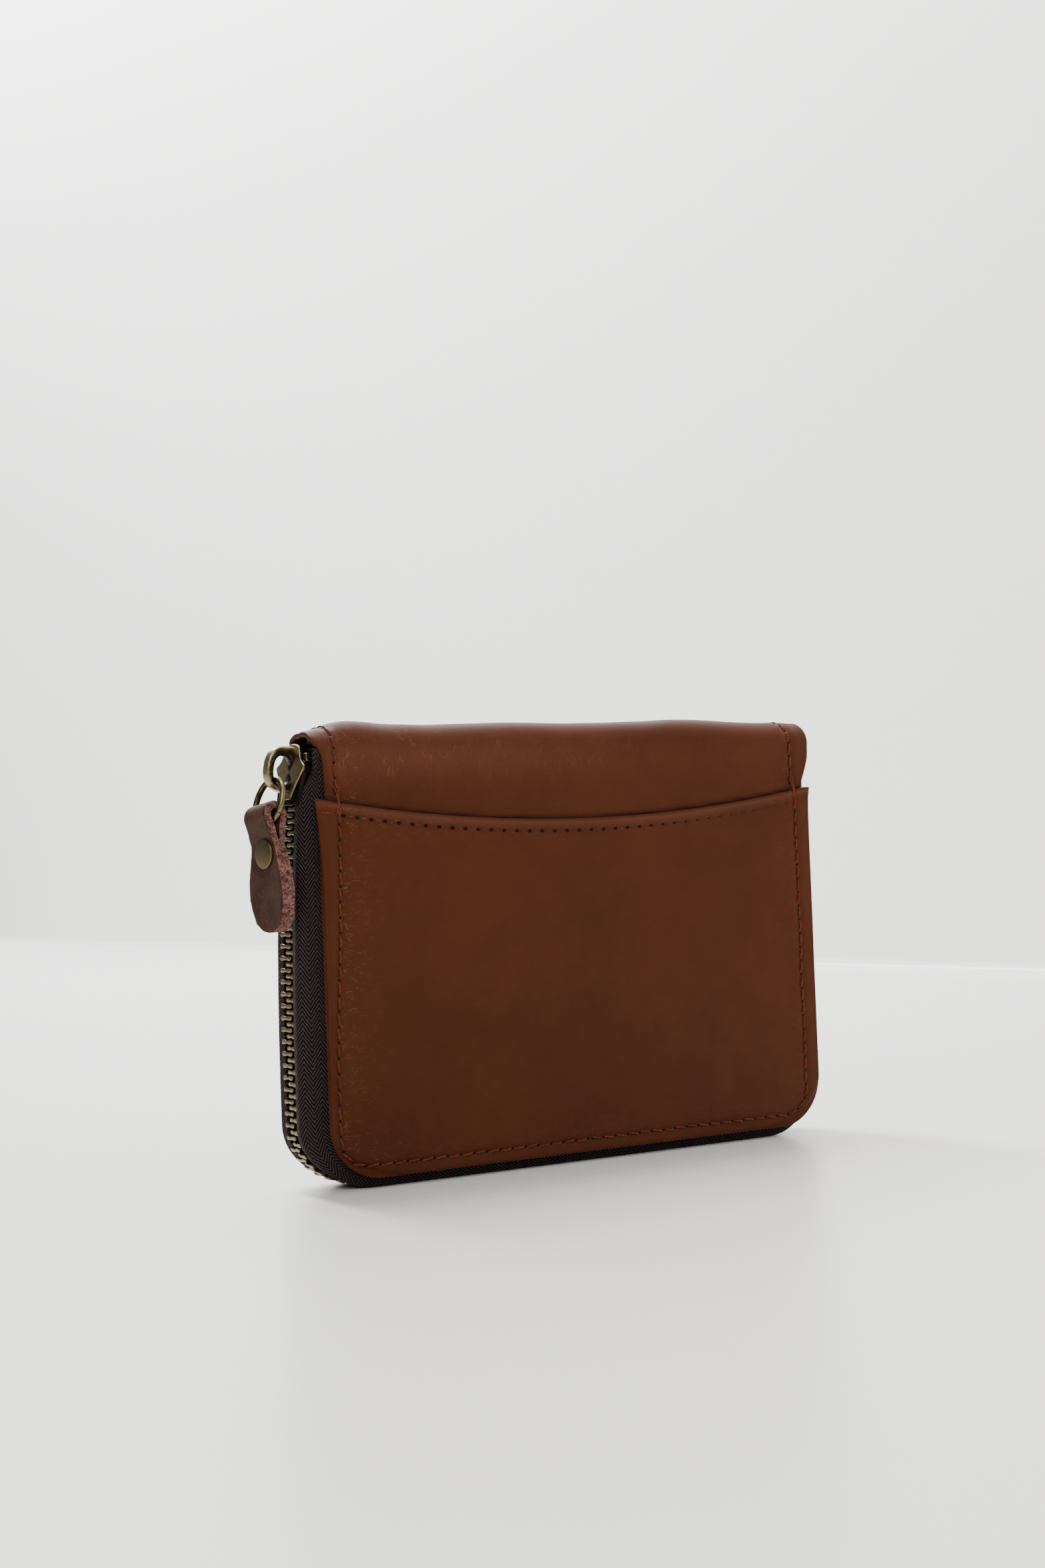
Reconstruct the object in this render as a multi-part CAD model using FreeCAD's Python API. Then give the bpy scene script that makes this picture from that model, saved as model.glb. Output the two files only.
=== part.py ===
"""Zip-around leather wallet with an outside slip pocket, standing on its zipped edge.

Frame, in millimetres: +X is the width, towards the closed end's far side, +Y is the
thickness, towards the back cover, and +Z is up, towards the folded spine. The origin is
on the surface the wallet stands on, under the middle of the zip chain.
"""
import FreeCAD, Part
import math
import os

V = FreeCAD.Vector

# ---------------------------------------------------------------- driving dimensions
HEIGHT = 90.0            # floor to the top of the spine
WIDTH = 118.0            # leather covers, left edge to right edge
THICKNESS = 14.0         # outer face of the front cover to outer face of the back cover
COVER_LOW = 2.1          # lower edge of the covers above the floor
COVER_CORNER = 10.5      # corner radius of the covers
SPINE_RADIUS = 4.0       # outer radius of each spine fold

LEATHER = 1.2            # cover leather
POCKET_LEATHER = 1.0     # slip pocket leather
FILLER = 0.6             # stiffener board, and the zip tape beside it
LINING = 0.5
PLY_GAP = 0.05           # clearance between two layers that are sewn together
FOLD_GAP = 1.0           # degrees left open each side of the fold's middle

CHAIN_WIDTH = 5.8        # across both rows of teeth
TOOTH_THICK = 2.2
TOOTH_PITCH = 2.31       # one row
TAPE_FLAP = 8.0          # tape hidden under the cover's edge
CHAIN_OUT_LOW = 3.8      # chain's middle beyond the cover's edge, at its widest
CHAIN_OUT_BASE = 0.85    # the same along the base
CHAIN_OUT_FAR = 1.6      # the same up the right side, where the zip ends
CHAIN_WIDEST = 20.0      # height where the chain starts to bow in
CHAIN_BOW = 748.0        # radius of that bow
CHAIN_TUCK = 74.0        # height where the chain turns in towards the spine

POCKET_MOUTH_END = 75.9  # height of the slip pocket's mouth at its ends
POCKET_MOUTH_MID = 70.6  # and at its sagging middle
POCKET_OVERHANG = 0.4    # pocket's side edge beyond the cover's

STITCH_PITCH = 3.0
STITCH_LENGTH = 2.2
STITCH_WIDE = 0.5
STITCH_PROUD = 0.3

SLIDER_HEIGHT = 80.5     # middle of the slider above the floor
SLIDER_TILT = 11.0       # degrees from vertical, leaning in at its nose
SLIDER_YAW = 6.0         # degrees, front edge turned in
SLIDER_CHANNEL = 2.8     # between the slider's two plates
SLIDER_PLATE = 0.8

RING_RADIUS = 4.8        # wire's centre line
RING_WIRE = 0.62
RING_TILT = 17.0         # degrees from vertical
TAB_LEAN = 8.0           # degrees round the ring, towards the front

# ---------------------------------------------------------------- derived dimensions
HALF_W = WIDTH / 2
HALF_T = THICKNESS / 2
FOLD_Y = HALF_T - SPINE_RADIUS
FOLD_Z = HEIGHT - SPINE_RADIUS
FILLER_OUT = HALF_T - LEATHER - PLY_GAP
FILLER_IN = FILLER_OUT - FILLER
LINING_DEPTH = LEATHER + FILLER + 2 * PLY_GAP
LINING_IN = HALF_T - LINING_DEPTH - LINING
CHAIN_HALF = CHAIN_WIDTH / 2
TAPE_TOP = FOLD_Z - 0.2
CHAIN_PARTS = SLIDER_HEIGHT - 4.0     # the two rows part above this height
CHAIN_PARTED = SLIDER_HEIGHT + 1.0    # and are fully apart here
SLIDER_FACE = SLIDER_CHANNEL / 2 + SLIDER_PLATE

FRONT = -1               # sign of Y on the front half
BACK = 1


def save(name, shape):
    """Write one node's solids."""
    shape.exportStep("parts/%s.step" % name)


def polygon(points):
    """Closed planar face through the points."""
    return Part.Face(Part.makePolygon([V(*p) for p in points] + [V(*points[0])]))


def box(low, high):
    """Axis-aligned box between two corners."""
    size = [high[i] - low[i] for i in range(3)]
    return Part.makeBox(size[0], size[1], size[2], V(*low))


def mirrored(shape, side):
    """The back half's shape as it is, or its mirror image for the front half."""
    if side == BACK:
        return shape
    return shape.mirror(V(0, 0, 0), V(0, 1, 0))


# ---------------------------------------------------------------- layers of each half
def rounded_panel(half_width, low, high, corner, y_from, y_to):
    """Panel in the XZ plane with its two lower corners rounded."""
    bend = corner * (1 - math.sqrt(0.5))
    left, right = -half_width, half_width
    edges = [
        Part.makeLine(V(left, y_from, high), V(left, y_from, low + corner)),
        Part.Arc(V(left, y_from, low + corner), V(left + bend, y_from, low + bend),
                 V(left + corner, y_from, low)).toShape(),
        Part.makeLine(V(left + corner, y_from, low), V(right - corner, y_from, low)),
        Part.Arc(V(right - corner, y_from, low), V(right - bend, y_from, low + bend),
                 V(right, y_from, low + corner)).toShape(),
        Part.makeLine(V(right, y_from, low + corner), V(right, y_from, high)),
        Part.makeLine(V(right, y_from, high), V(left, y_from, high)),
    ]
    return Part.Face(Part.Wire(edges)).extrude(V(0, y_to - y_from, 0))


def fold_point(radius, degrees, side=BACK):
    """Point on a spine fold, in the plane of the left edge; 0 degrees is the panel."""
    angle = math.radians(degrees)
    return V(0, side * (FOLD_Y + radius * math.cos(angle)), FOLD_Z + radius * math.sin(angle))


def half_layer(depth, thick, inset):
    """One layer of the back half: the panel and its share of the spine fold."""
    outer = SPINE_RADIUS - depth
    inner = outer - thick
    low = COVER_LOW + inset
    end = 45 - FOLD_GAP
    base_out = V(0, FOLD_Y + outer, low)
    base_in = V(0, FOLD_Y + inner, low)
    edges = [
        Part.makeLine(base_out, fold_point(outer, 0)),
        Part.Arc(fold_point(outer, 0), fold_point(outer, end / 2), fold_point(outer, end)).toShape(),
        Part.makeLine(fold_point(outer, end), fold_point(inner, end)),
        Part.Arc(fold_point(inner, end), fold_point(inner, end / 2), fold_point(inner, 0)).toShape(),
        Part.makeLine(fold_point(inner, 0), base_in),
        Part.makeLine(base_in, base_out),
    ]
    half = HALF_W - inset
    strip = Part.Face(Part.Wire(edges)).extrude(V(2 * half, 0, 0))
    strip.translate(V(-half, 0, 0))
    outline = rounded_panel(half, low, HEIGHT, COVER_CORNER - inset, 0, HALF_T + 1)
    return strip.common(outline).Solids[0]


def spine_layer(depth, thick, inset):
    """The same layer's share between the middles of the two folds."""
    outer = SPINE_RADIUS - depth
    inner = outer - thick
    start = 45 + FOLD_GAP
    mid = (start + 90) / 2
    edges = [
        Part.Arc(fold_point(outer, start), fold_point(outer, mid), fold_point(outer, 90)).toShape(),
        Part.makeLine(fold_point(outer, 90), fold_point(outer, 90, FRONT)),
        Part.Arc(fold_point(outer, 90, FRONT), fold_point(outer, mid, FRONT),
                 fold_point(outer, start, FRONT)).toShape(),
        Part.makeLine(fold_point(outer, start, FRONT), fold_point(inner, start, FRONT)),
        Part.Arc(fold_point(inner, start, FRONT), fold_point(inner, mid, FRONT),
                 fold_point(inner, 90, FRONT)).toShape(),
        Part.makeLine(fold_point(inner, 90, FRONT), fold_point(inner, 90)),
        Part.Arc(fold_point(inner, 90), fold_point(inner, mid), fold_point(inner, start)).toShape(),
        Part.makeLine(fold_point(inner, start), fold_point(outer, start)),
    ]
    half = HALF_W - inset
    strip = Part.Face(Part.Wire(edges)).extrude(V(2 * half, 0, 0))
    strip.translate(V(-half, 0, 0))
    return strip


LINING_INSET = 3.4       # lining's edge in from the cover's edge


def covers_and_linings():
    """Leather covers and linings: each a front, a spine and a back part."""
    cover = half_layer(0, LEATHER, 0)
    lining = half_layer(LINING_DEPTH, LINING, LINING_INSET)
    for name, side in (("front", FRONT), ("back", BACK)):
        save(name + "_cover", mirrored(cover, side))
        save(name + "_lining", mirrored(lining, side))
    save("spine_cover", spine_layer(0, LEATHER, 0))
    save("spine_lining", spine_layer(LINING_DEPTH, LINING, LINING_INSET))


def stiffeners():
    """Boards between the leather and the lining, inside the zip tape's flap."""
    half = HALF_W - TAPE_FLAP - 0.6
    low = COVER_LOW + TAPE_FLAP + 0.6
    board = rounded_panel(half, low, FOLD_Z - 1.0, 2.0, FILLER_IN, FILLER_OUT)
    for name, side in (("front", FRONT), ("back", BACK)):
        save(name + "_stiffener", mirrored(board, side))
    top = HEIGHT - LEATHER - PLY_GAP
    save("spine_stiffener", box((-half, 0.1 - FOLD_Y, top - FILLER), (half, FOLD_Y - 0.1, top)))


def slip_pocket():
    """Outside pocket on the front cover, with a mouth that sags in the middle."""
    y_in = -(HALF_T + PLY_GAP)
    y_out = y_in - POCKET_LEATHER
    half = HALF_W + POCKET_OVERHANG
    panel = rounded_panel(half, COVER_LOW, HEIGHT, COVER_CORNER, y_out, y_in)
    left = V(-half, y_out, POCKET_MOUTH_END)
    right = V(half, y_out, POCKET_MOUTH_END)
    edges = [
        Part.Arc(left, V(0, y_out, POCKET_MOUTH_MID), right).toShape(),
        Part.makeLine(right, V(half, y_out, HEIGHT)),
        Part.makeLine(V(half, y_out, HEIGHT), V(-half, y_out, HEIGHT)),
        Part.makeLine(V(-half, y_out, HEIGHT), left),
    ]
    above = Part.Face(Part.Wire(edges)).extrude(V(0, POCKET_LEATHER, 0))
    save("front_slip_pocket", panel.cut(above).Solids[0])


# ---------------------------------------------------------------- inside pockets
CARD_HALF = 49.0         # half width of the card pockets
CARD_LOW = 9.0
CARD_PLY = 0.5
CARD_TOPS = (70.0, 58.0, 46.0)

COIN_HALF = 47.0         # half width of the coin pocket
COIN_LOW = 10.0
COIN_TOP = 62.0
COIN_DEPTH = 1.7         # from the lining to the pocket's outer face
COIN_WALL = 0.45
COIN_TAPE = 0.4
COIN_MIDDLE = 0.98       # from the lining to the middle of the coin pocket's zip
COIN_TOOTH_THICK = 0.8
COIN_TAPE_WIDE = 5.0
COIN_CHAIN_Z = 66.4      # middle of the coin pocket's zip
COIN_CHAIN_HALF = 1.4
COIN_TOOTH_PITCH = 1.6
COIN_SLIDER_X = -36.0    # where the coin pocket's slider parks when shut


def card_pockets():
    """Three stepped card pockets on the back lining, mouths towards the spine."""
    y_out = LINING_IN - PLY_GAP
    for number, top in enumerate(CARD_TOPS, 1):
        y_in = y_out - CARD_PLY
        save("card_pocket_%d" % number, rounded_panel(CARD_HALF, CARD_LOW, top, 3.0, y_in, y_out))
        y_out = y_in - PLY_GAP


def coin_pocket():
    """Flat zipped pocket on the front lining: a shallow tray, two tapes and their teeth."""
    y_lining = -(LINING_IN - PLY_GAP)
    y_face = y_lining + COIN_DEPTH
    tray = rounded_panel(COIN_HALF, COIN_LOW, COIN_TOP, 4.0, y_lining, y_face)
    hollow = rounded_panel(COIN_HALF - COIN_WALL, COIN_LOW + COIN_WALL, COIN_TOP + 1, 3.5,
                           y_lining + COIN_WALL, y_face - COIN_WALL)
    save("coin_pocket", tray.cut(hollow).Solids[0])

    tape_y = y_lining + COIN_MIDDLE - COIN_TAPE / 2
    gap = COIN_CHAIN_HALF + PLY_GAP
    lower_low = COIN_CHAIN_Z - gap - COIN_TAPE_WIDE + 1.4
    lower = box((-COIN_HALF, tape_y, COIN_TOP + PLY_GAP),
                (COIN_HALF, tape_y + COIN_TAPE, COIN_CHAIN_Z - gap))
    flap = box((1 - COIN_HALF, tape_y, lower_low),
               (COIN_HALF - 1, tape_y + COIN_TAPE, COIN_TOP + 2 * PLY_GAP))
    save("coin_zip_lower_tape", lower.fuse(flap).removeSplitter().Solids[0])
    save("coin_zip_upper_tape", box((-COIN_HALF, tape_y, COIN_CHAIN_Z + gap),
                                    (COIN_HALF, tape_y + COIN_TAPE,
                                     COIN_CHAIN_Z + gap + COIN_TAPE_WIDE)))

    tooth_y = y_lining + COIN_MIDDLE
    tooth_half = COIN_TOOTH_THICK / 2
    count = int((2 * COIN_HALF - 6) / COIN_TOOTH_PITCH)
    rows = {"coin_zip_lower_teeth": -1, "coin_zip_upper_teeth": 1}
    for name, sign in rows.items():
        teeth = []
        for i in range(count):
            x = 3 - COIN_HALF + (i + 0.25 * (1 + sign)) * COIN_TOOTH_PITCH
            if abs(x - COIN_SLIDER_X) < 4.2:
                continue
            z_root = COIN_CHAIN_Z + sign * COIN_CHAIN_HALF
            z_tip = COIN_CHAIN_Z - sign * 0.5
            teeth.append(box((x - 0.34, tooth_y - tooth_half, min(z_root, z_tip)),
                             (x + 0.34, tooth_y + tooth_half, max(z_root, z_tip))))
        save(name, Part.makeCompound(teeth))

    coin_slider(tooth_y)


def coin_slider(tooth_y):
    """Small slider on the coin pocket's zip and the pull that hangs from it."""
    half_x, half_z = 3.6, 2.4
    channel = 0.53
    plate = 0.36
    x0, z0 = COIN_SLIDER_X, COIN_CHAIN_Z
    y_low = tooth_y - channel - plate
    y_high = tooth_y + channel + plate
    body = box((x0 - half_x, y_low, z0 - half_z), (x0 + half_x, y_high, z0 + half_z))
    channel_cut = box((x0 - half_x - 1, tooth_y - channel, z0 - half_z + 0.5),
                      (x0 + half_x + 1, tooth_y + channel, z0 + half_z - 0.5))
    slot = box((x0 - half_x - 1, tooth_y - 0.3, z0 - half_z - 1),
               (x0 + half_x + 1, tooth_y + 0.3, z0 + half_z + 1))
    post = Part.makeCylinder(0.9, y_high - y_low, V(x0 - half_x + 1.2, y_low, z0), V(0, 1, 0))
    body = body.cut(channel_cut).cut(slot).fuse(post).removeSplitter()
    stud_z = z0 - 0.8
    stud = Part.makeCylinder(0.5, 0.85, V(x0, y_high - 0.1, stud_z), V(0, 1, 0))
    head = Part.makeCylinder(0.8, 0.2, V(x0, y_high + 0.7, stud_z), V(0, 1, 0))
    save("coin_slider", body.fuse(stud).fuse(head).removeSplitter().Solids[0])

    eye = Part.makeCylinder(1.6, 0.55, V(x0, y_high + 0.08, stud_z), V(0, 1, 0))
    blade = box((x0 - 1.5, y_high + 0.08, stud_z - 13), (x0 + 1.5, y_high + 0.63, stud_z))
    bore = Part.makeCylinder(0.55, 2, V(x0, y_high - 0.5, stud_z), V(0, 1, 0))
    save("coin_pull", eye.fuse(blade).cut(bore).removeSplitter().Solids[0])


# ---------------------------------------------------------------- zip round the edge
def chain_out(z):
    """How far the chain's middle stands out from a side edge at a height."""
    if z <= CHAIN_WIDEST:
        return CHAIN_OUT_LOW
    bowed = CHAIN_OUT_LOW - (min(z, CHAIN_TUCK) - CHAIN_WIDEST) ** 2 / (2 * CHAIN_BOW)
    return bowed - math.tan(math.radians(SLIDER_TILT)) * max(0.0, z - CHAIN_TUCK)


def parting(z):
    """How far each row has moved apart at a height, at the slider's end."""
    return 0.2 * (max(CHAIN_PARTS, min(z, CHAIN_PARTED)) - CHAIN_PARTS)


def edge_stations():
    """Stations down the left edge, along the base and up the right edge.

    Each is (x, z, outward x, outward z, share of base shape, chain's middle outwards,
    distance the row has parted).
    """
    centre_x = HALF_W - COVER_CORNER
    centre_z = COVER_LOW + COVER_CORNER
    heights = [TAPE_TOP, CHAIN_PARTED, CHAIN_PARTS, CHAIN_TUCK, 62.0, 50.0, 38.0, 29.0, CHAIN_WIDEST]
    corners = {}
    steps = 6
    for side, widest in ((-1, CHAIN_OUT_LOW), (1, CHAIN_OUT_FAR)):
        corners[side] = []
        for i in range(steps + 1):
            angle = math.radians(90.0 * i / steps)
            share = (1 - math.cos(math.pi * i / steps)) / 2
            out = widest + (CHAIN_OUT_BASE - widest) * share
            nx, nz = side * math.cos(angle), -math.sin(angle)
            corners[side].append((side * centre_x + COVER_CORNER * nx, centre_z + COVER_CORNER * nz,
                                  nx, nz, share, out, 0.0))
    left = [(-HALF_W, z, -1.0, 0.0, 0.0, chain_out(z), parting(z)) for z in heights]
    right = [(HALF_W, z, 1.0, 0.0, 0.0, CHAIN_OUT_FAR, 0.0) for z in reversed(heights)]
    return left + corners[-1] + corners[1][::-1] + right


def tape_section(station):
    """Tape's closed outline at one station, on the back half."""
    x, z, nx, nz, share, out, parted = station
    crest = COVER_LOW
    shoulder_u = (0.42 * out + 0.2) * (1 - share) + crest * share
    shoulder_y = 5.3 * (1 - share) + 5.2 * share
    edge_u = (out + 0.33) * (1 - share) + crest * share
    edge_y = CHAIN_HALF + PLY_GAP + parted
    drop = 0.65
    outline = [
        (-TAPE_FLAP, FILLER_OUT),
        (0.3, FILLER_OUT),
        (shoulder_u, shoulder_y),
        (edge_u, edge_y),
        (edge_u - drop, edge_y),
        (shoulder_u - 0.55, shoulder_y - 0.5),
        (-0.2, FILLER_IN),
        (-TAPE_FLAP, FILLER_IN),
    ]
    return Part.makePolygon([V(x + nx * u, y, z + nz * u) for u, y in outline + outline[:1]])


def zip_tapes():
    """One tape along each half, sewn under the cover's edge."""
    tape = Part.makeLoft([tape_section(s) for s in edge_stations()], True, True)
    for name, side in (("front", FRONT), ("back", BACK)):
        save(name + "_zip_tape", mirrored(tape, side))


def half_path(widest, top):
    """Closely spaced points (x, z) down one side and round its corner, as on the left."""
    centre_x = HALF_W - COVER_CORNER
    centre_z = COVER_LOW + COVER_CORNER
    points = []
    step = 0.25
    z = top
    while z > centre_z:
        points.append((-HALF_W - (chain_out(z) if widest == CHAIN_OUT_LOW else widest), z))
        z -= step
    steps = 90
    for i in range(steps + 1):
        angle = math.radians(90.0 * i / steps)
        share = (1 - math.cos(math.pi * i / steps)) / 2
        radius = COVER_CORNER + widest + (CHAIN_OUT_BASE - widest) * share
        points.append((-centre_x - radius * math.cos(angle), centre_z - radius * math.sin(angle)))
    x = step - centre_x
    while x < 0:
        points.append((x, points[-1][1]))
        x += step
    return points


def chain_path():
    """Closely spaced points (x, z) along the chain's middle, from the slider's end."""
    top = SLIDER_HEIGHT + 3.0
    far = half_path(CHAIN_OUT_FAR, top)
    return half_path(CHAIN_OUT_LOW, top) + [(-x, z) for x, z in reversed(far)]


def along(points, pitch, start):
    """Points at a regular pitch along a polyline, each with its unit tangent."""
    placed = []
    goal = start
    run = 0.0
    for (x0, z0), (x1, z1) in zip(points, points[1:]):
        length = math.hypot(x1 - x0, z1 - z0)
        if length < 1e-9:
            continue
        while goal <= run + length:
            share = (goal - run) / length
            placed.append((x0 + (x1 - x0) * share, z0 + (z1 - z0) * share,
                           (x1 - x0) / length, (z1 - z0) / length))
            goal += pitch
        run += length
    return placed


TOOTH_OUTLINE = ((0.62, 2.9), (0.62, 1.6), (0.46, 1.1), (0.5, -0.4), (0.3, -0.9))


def tooth(x, z, tx, tz, spread, twist):
    """One tooth of the back row: a flat prism across the chain.

    twist is how far the tooth leans outwards for each millimetre across the chain.
    """
    nx, nz = tz, -tx
    half = TOOTH_THICK / 2
    side = [(s, y) for s, y in TOOTH_OUTLINE] + [(-s, y) for s, y in reversed(TOOTH_OUTLINE)]
    inner = []
    for s, y in side:
        n = twist * (y + spread) - half
        inner.append(V(x + tx * s + nx * n, y + spread, z + tz * s + nz * n))
    face = Part.Face(Part.makePolygon(inner + inner[:1]))
    return face.extrude(V(nx * TOOTH_THICK, 0, nz * TOOTH_THICK))


def chain_twist(x, z):
    """Outward lean of the chain's back row: full at the slider's end, none on the base."""
    low = COVER_LOW + COVER_CORNER
    share = max(0.0, min(1.0, (z - low) / (2 * COVER_CORNER)))
    return math.tan(math.radians(SLIDER_YAW)) * share if x < 0 else 0.0


def zip_teeth():
    """Both rows, meshed from the bottom stop to the slider and parting inside it."""
    path = chain_path()
    for name, side, start in (("front", FRONT, 0.4), ("back", BACK, 0.4 + TOOTH_PITCH / 2)):
        teeth = []
        for x, z, tx, tz in along(path, TOOTH_PITCH, start):
            if x < 0 and z > CHAIN_PARTED:
                continue
            spread = parting(z) if x < 0 else 0.0
            lean = side * chain_twist(x, z)
            teeth.append(mirrored(tooth(x, z, tx, tz, spread, lean), side))
        save(name + "_zip_teeth", Part.makeCompound(teeth))


def zip_stops():
    """A stop above the slider on each tape, and the bottom stop over both tapes."""
    z0 = SLIDER_HEIGHT + 3.6
    x0 = -HALF_W - chain_out(z0)
    y0 = CHAIN_HALF + parting(z0)
    for name, side in (("front", FRONT), ("back", BACK)):
        stop = box((x0 - 0.8, y0 - 1.4, z0 - 0.9), (x0 + 0.8, y0, z0 + 0.9))
        stop = stop.makeFillet(0.25, stop.Edges)
        save(name + "_top_stop", mirrored(stop, side))
    low = SLIDER_HEIGHT + 4.0
    x1 = HALF_W + CHAIN_OUT_FAR
    half = TOOTH_THICK / 2 + 0.2
    stop = box((x1 - half, -CHAIN_HALF, low), (x1 + half, CHAIN_HALF, low + 1.6))
    save("bottom_stop", stop.makeFillet(0.35, stop.Edges))


# ---------------------------------------------------------------- slider and pull
SLIDER_OUTLINE = ((1.3, 6.0), (2.6, 4.9), (3.7, 3.2), (5.0, 1.9), (4.9, 0.7),
                  (4.2, -2.4), (3.85, -6.0))
BRIDGE_WIDE = 2.2
BRIDGE_HOLE = (SLIDER_FACE, 6.0, -2.3, 3.3)    # outwards from, to; up from, to
BRIDGE_OUT = 7.7
BRIDGE_LOW = -3.9
BRIDGE_HIGH = 5.5
RING_SEAT = 5.2          # ring's wire in the bridge: outwards
RING_SEAT_UP = -1.4      # and up, both from the slider's middle


def slider_frame(shape):
    """Move a shape from the slider's own frame, outwards = -X and up = +Z, to its place."""
    shape = shape.copy()
    shape.rotate(V(0, 0, 0), V(0, 1, 0), SLIDER_TILT)
    shape.rotate(V(0, 0, 0), V(0, 0, 1), SLIDER_YAW)
    shape.translate(slider_middle())
    return shape


def slider_middle():
    """Middle of the slider, on the middle of the chain."""
    return V(-HALF_W - chain_out(SLIDER_HEIGHT), 0, SLIDER_HEIGHT)


def turned(vector):
    """A direction turned by the slider's yaw."""
    angle = math.radians(SLIDER_YAW)
    return V(vector.x * math.cos(angle) - vector.y * math.sin(angle),
             vector.x * math.sin(angle) + vector.y * math.cos(angle), vector.z)


def slider_point(out, up):
    """A point of the slider's own frame, in the wallet's frame."""
    angle = math.radians(SLIDER_TILT)
    tilted = V(-out * math.cos(angle) + up * math.sin(angle), 0,
               out * math.sin(angle) + up * math.cos(angle))
    return slider_middle() + turned(tilted)


def slider_plate(grow, x_from, x_to):
    """Plate with the slider's outline, shrunk by grow when that is negative."""
    right = [(y + grow, z + grow * (1 if z > 0 else -1) * 0.3) for y, z in SLIDER_OUTLINE]
    outline = [(x_from, y, z) for y, z in right] + [(x_from, -y, z) for y, z in reversed(right)]
    return polygon(outline).extrude(V(x_to - x_from, 0, 0))


def slider_body():
    """Two plates joined by a post at the nose, with lips that keep the teeth in."""
    lip = 0.55
    slot = 1.15
    block = slider_plate(0, -SLIDER_FACE, 0).fuse(slider_plate(-0.25, 0, SLIDER_FACE))
    channel = slider_plate(-lip, -SLIDER_CHANNEL / 2, SLIDER_CHANNEL / 2)
    mouth = box((-SLIDER_CHANNEL / 2, -3.3, -7), (SLIDER_CHANNEL / 2, 3.3, 0))
    nose = box((-SLIDER_CHANNEL / 2, -6, 2.0), (SLIDER_CHANNEL / 2, 6, 7))
    sides = box((-slot, -6, -7), (slot, 6, 7))
    post = Part.makeCylinder(1.25, 2 * SLIDER_FACE, V(-SLIDER_FACE, 0, 4.2), V(1, 0, 0))
    body = block.cut(channel).cut(mouth).cut(nose).cut(sides).fuse(post).removeSplitter()
    save("slider_body", slider_frame(body.Solids[0]))


def rounded_block(x_low, x_high, z_low, z_high, half_y, radius):
    """Block with its four edges along Y rounded."""
    block = box((x_low, -half_y, z_low), (x_high, half_y, z_high))
    edges = [e for e in block.Edges if abs(e.tangentAt(e.FirstParameter).y) > 0.9]
    return block.makeFillet(radius, edges)


def slider_bridge():
    """Arched loop on the slider's outer plate that the pull's ring hangs in."""
    near, far, low, high = BRIDGE_HOLE
    arch = rounded_block(-BRIDGE_OUT, -near + 3.0, BRIDGE_LOW, BRIDGE_HIGH, BRIDGE_WIDE / 2, 2.4)
    arch = arch.cut(box((-near, -5, -9), (9, 5, 9)))
    hole = rounded_block(-far, -near + 3.0, low, high, BRIDGE_WIDE, 0.9)
    arch = arch.cut(hole)
    trim = box((-near - 0.7, -5, -9), (0, 5, low + 0.1))
    save("slider_bridge", slider_frame(arch.cut(trim).Solids[0]))


def ring_place():
    """Ring's top, centre and its direction down, in the wallet's frame."""
    angle = math.radians(RING_TILT)
    down = turned(V(-math.sin(angle), 0, -math.cos(angle)))
    top = slider_point(RING_SEAT, RING_SEAT_UP)
    return top, top + down * RING_RADIUS, down


def ring_normal():
    """Normal of the ring's plane, pointing inwards."""
    return ring_place()[2].cross(turned(V(0, 1, 0)))


def pull_ring():
    """Thin jump ring hanging in the bridge, facing the wallet's end."""
    top, centre, down = ring_place()
    save("pull_ring", Part.makeTorus(RING_RADIUS, RING_WIRE, centre, ring_normal()))


TAB_PLY = 1.30           # one layer of the folded tab
TAB_CAVITY = 1.15        # half width of the fold's hollow round the ring
TAB_LENGTH = 25.0
TAB_TOP = 4.5            # fold's top above the ring's lowest point
TAB_CLOSES = -2.6        # the two layers meet this far below the ring's lowest point
TAB_IN = 0.22            # tab's middle inwards from the ring's lowest point
TAB_HALVES = ((3.8, 0.0), (3.85, -8.35), (5.5, -13.85), (5.8, -17.35), (4.8, -20.35))
RIVET_DOWN = 9.95        # rivet's centre below the fold's top
RIVET_SIDE = -0.8        # and towards the front from the tab's middle
RIVET_CAP = 2.9
RIVET_POST = 0.9


def tab_section():
    """The folded leather seen from its edge: outer outline less the hollow and the slit."""
    outer = TAB_PLY + TAB_CAVITY
    low = TAB_TOP - TAB_LENGTH
    close = TAB_CLOSES
    outline = [
        (outer, TAB_TOP - outer), (outer, 0.0), (TAB_PLY + 0.05, close), (TAB_PLY + 0.05, low),
        (0.05, low), (0.05, close), (TAB_CAVITY, -0.8), (TAB_CAVITY, TAB_TOP - outer),
    ]
    legs = polygon([(x, 0, z) for x, z in outline])
    other = polygon([(-x, 0, z) for x, z in outline])
    centre = V(0, 0, TAB_TOP - outer)
    cap = Part.Face(Part.Wire([
        Part.Arc(centre + V(outer, 0, 0), centre + V(0, 0, outer), centre - V(outer, 0, 0)).toShape(),
        Part.makeLine(centre - V(outer, 0, 0), centre - V(TAB_CAVITY, 0, 0)),
        Part.Arc(centre - V(TAB_CAVITY, 0, 0), centre + V(0, 0, TAB_CAVITY),
                 centre + V(TAB_CAVITY, 0, 0)).toShape(),
        Part.makeLine(centre + V(TAB_CAVITY, 0, 0), centre + V(outer, 0, 0)),
    ]))
    return [face.extrude(V(0, 16, 0)) for face in (legs, other, cap)]


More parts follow.
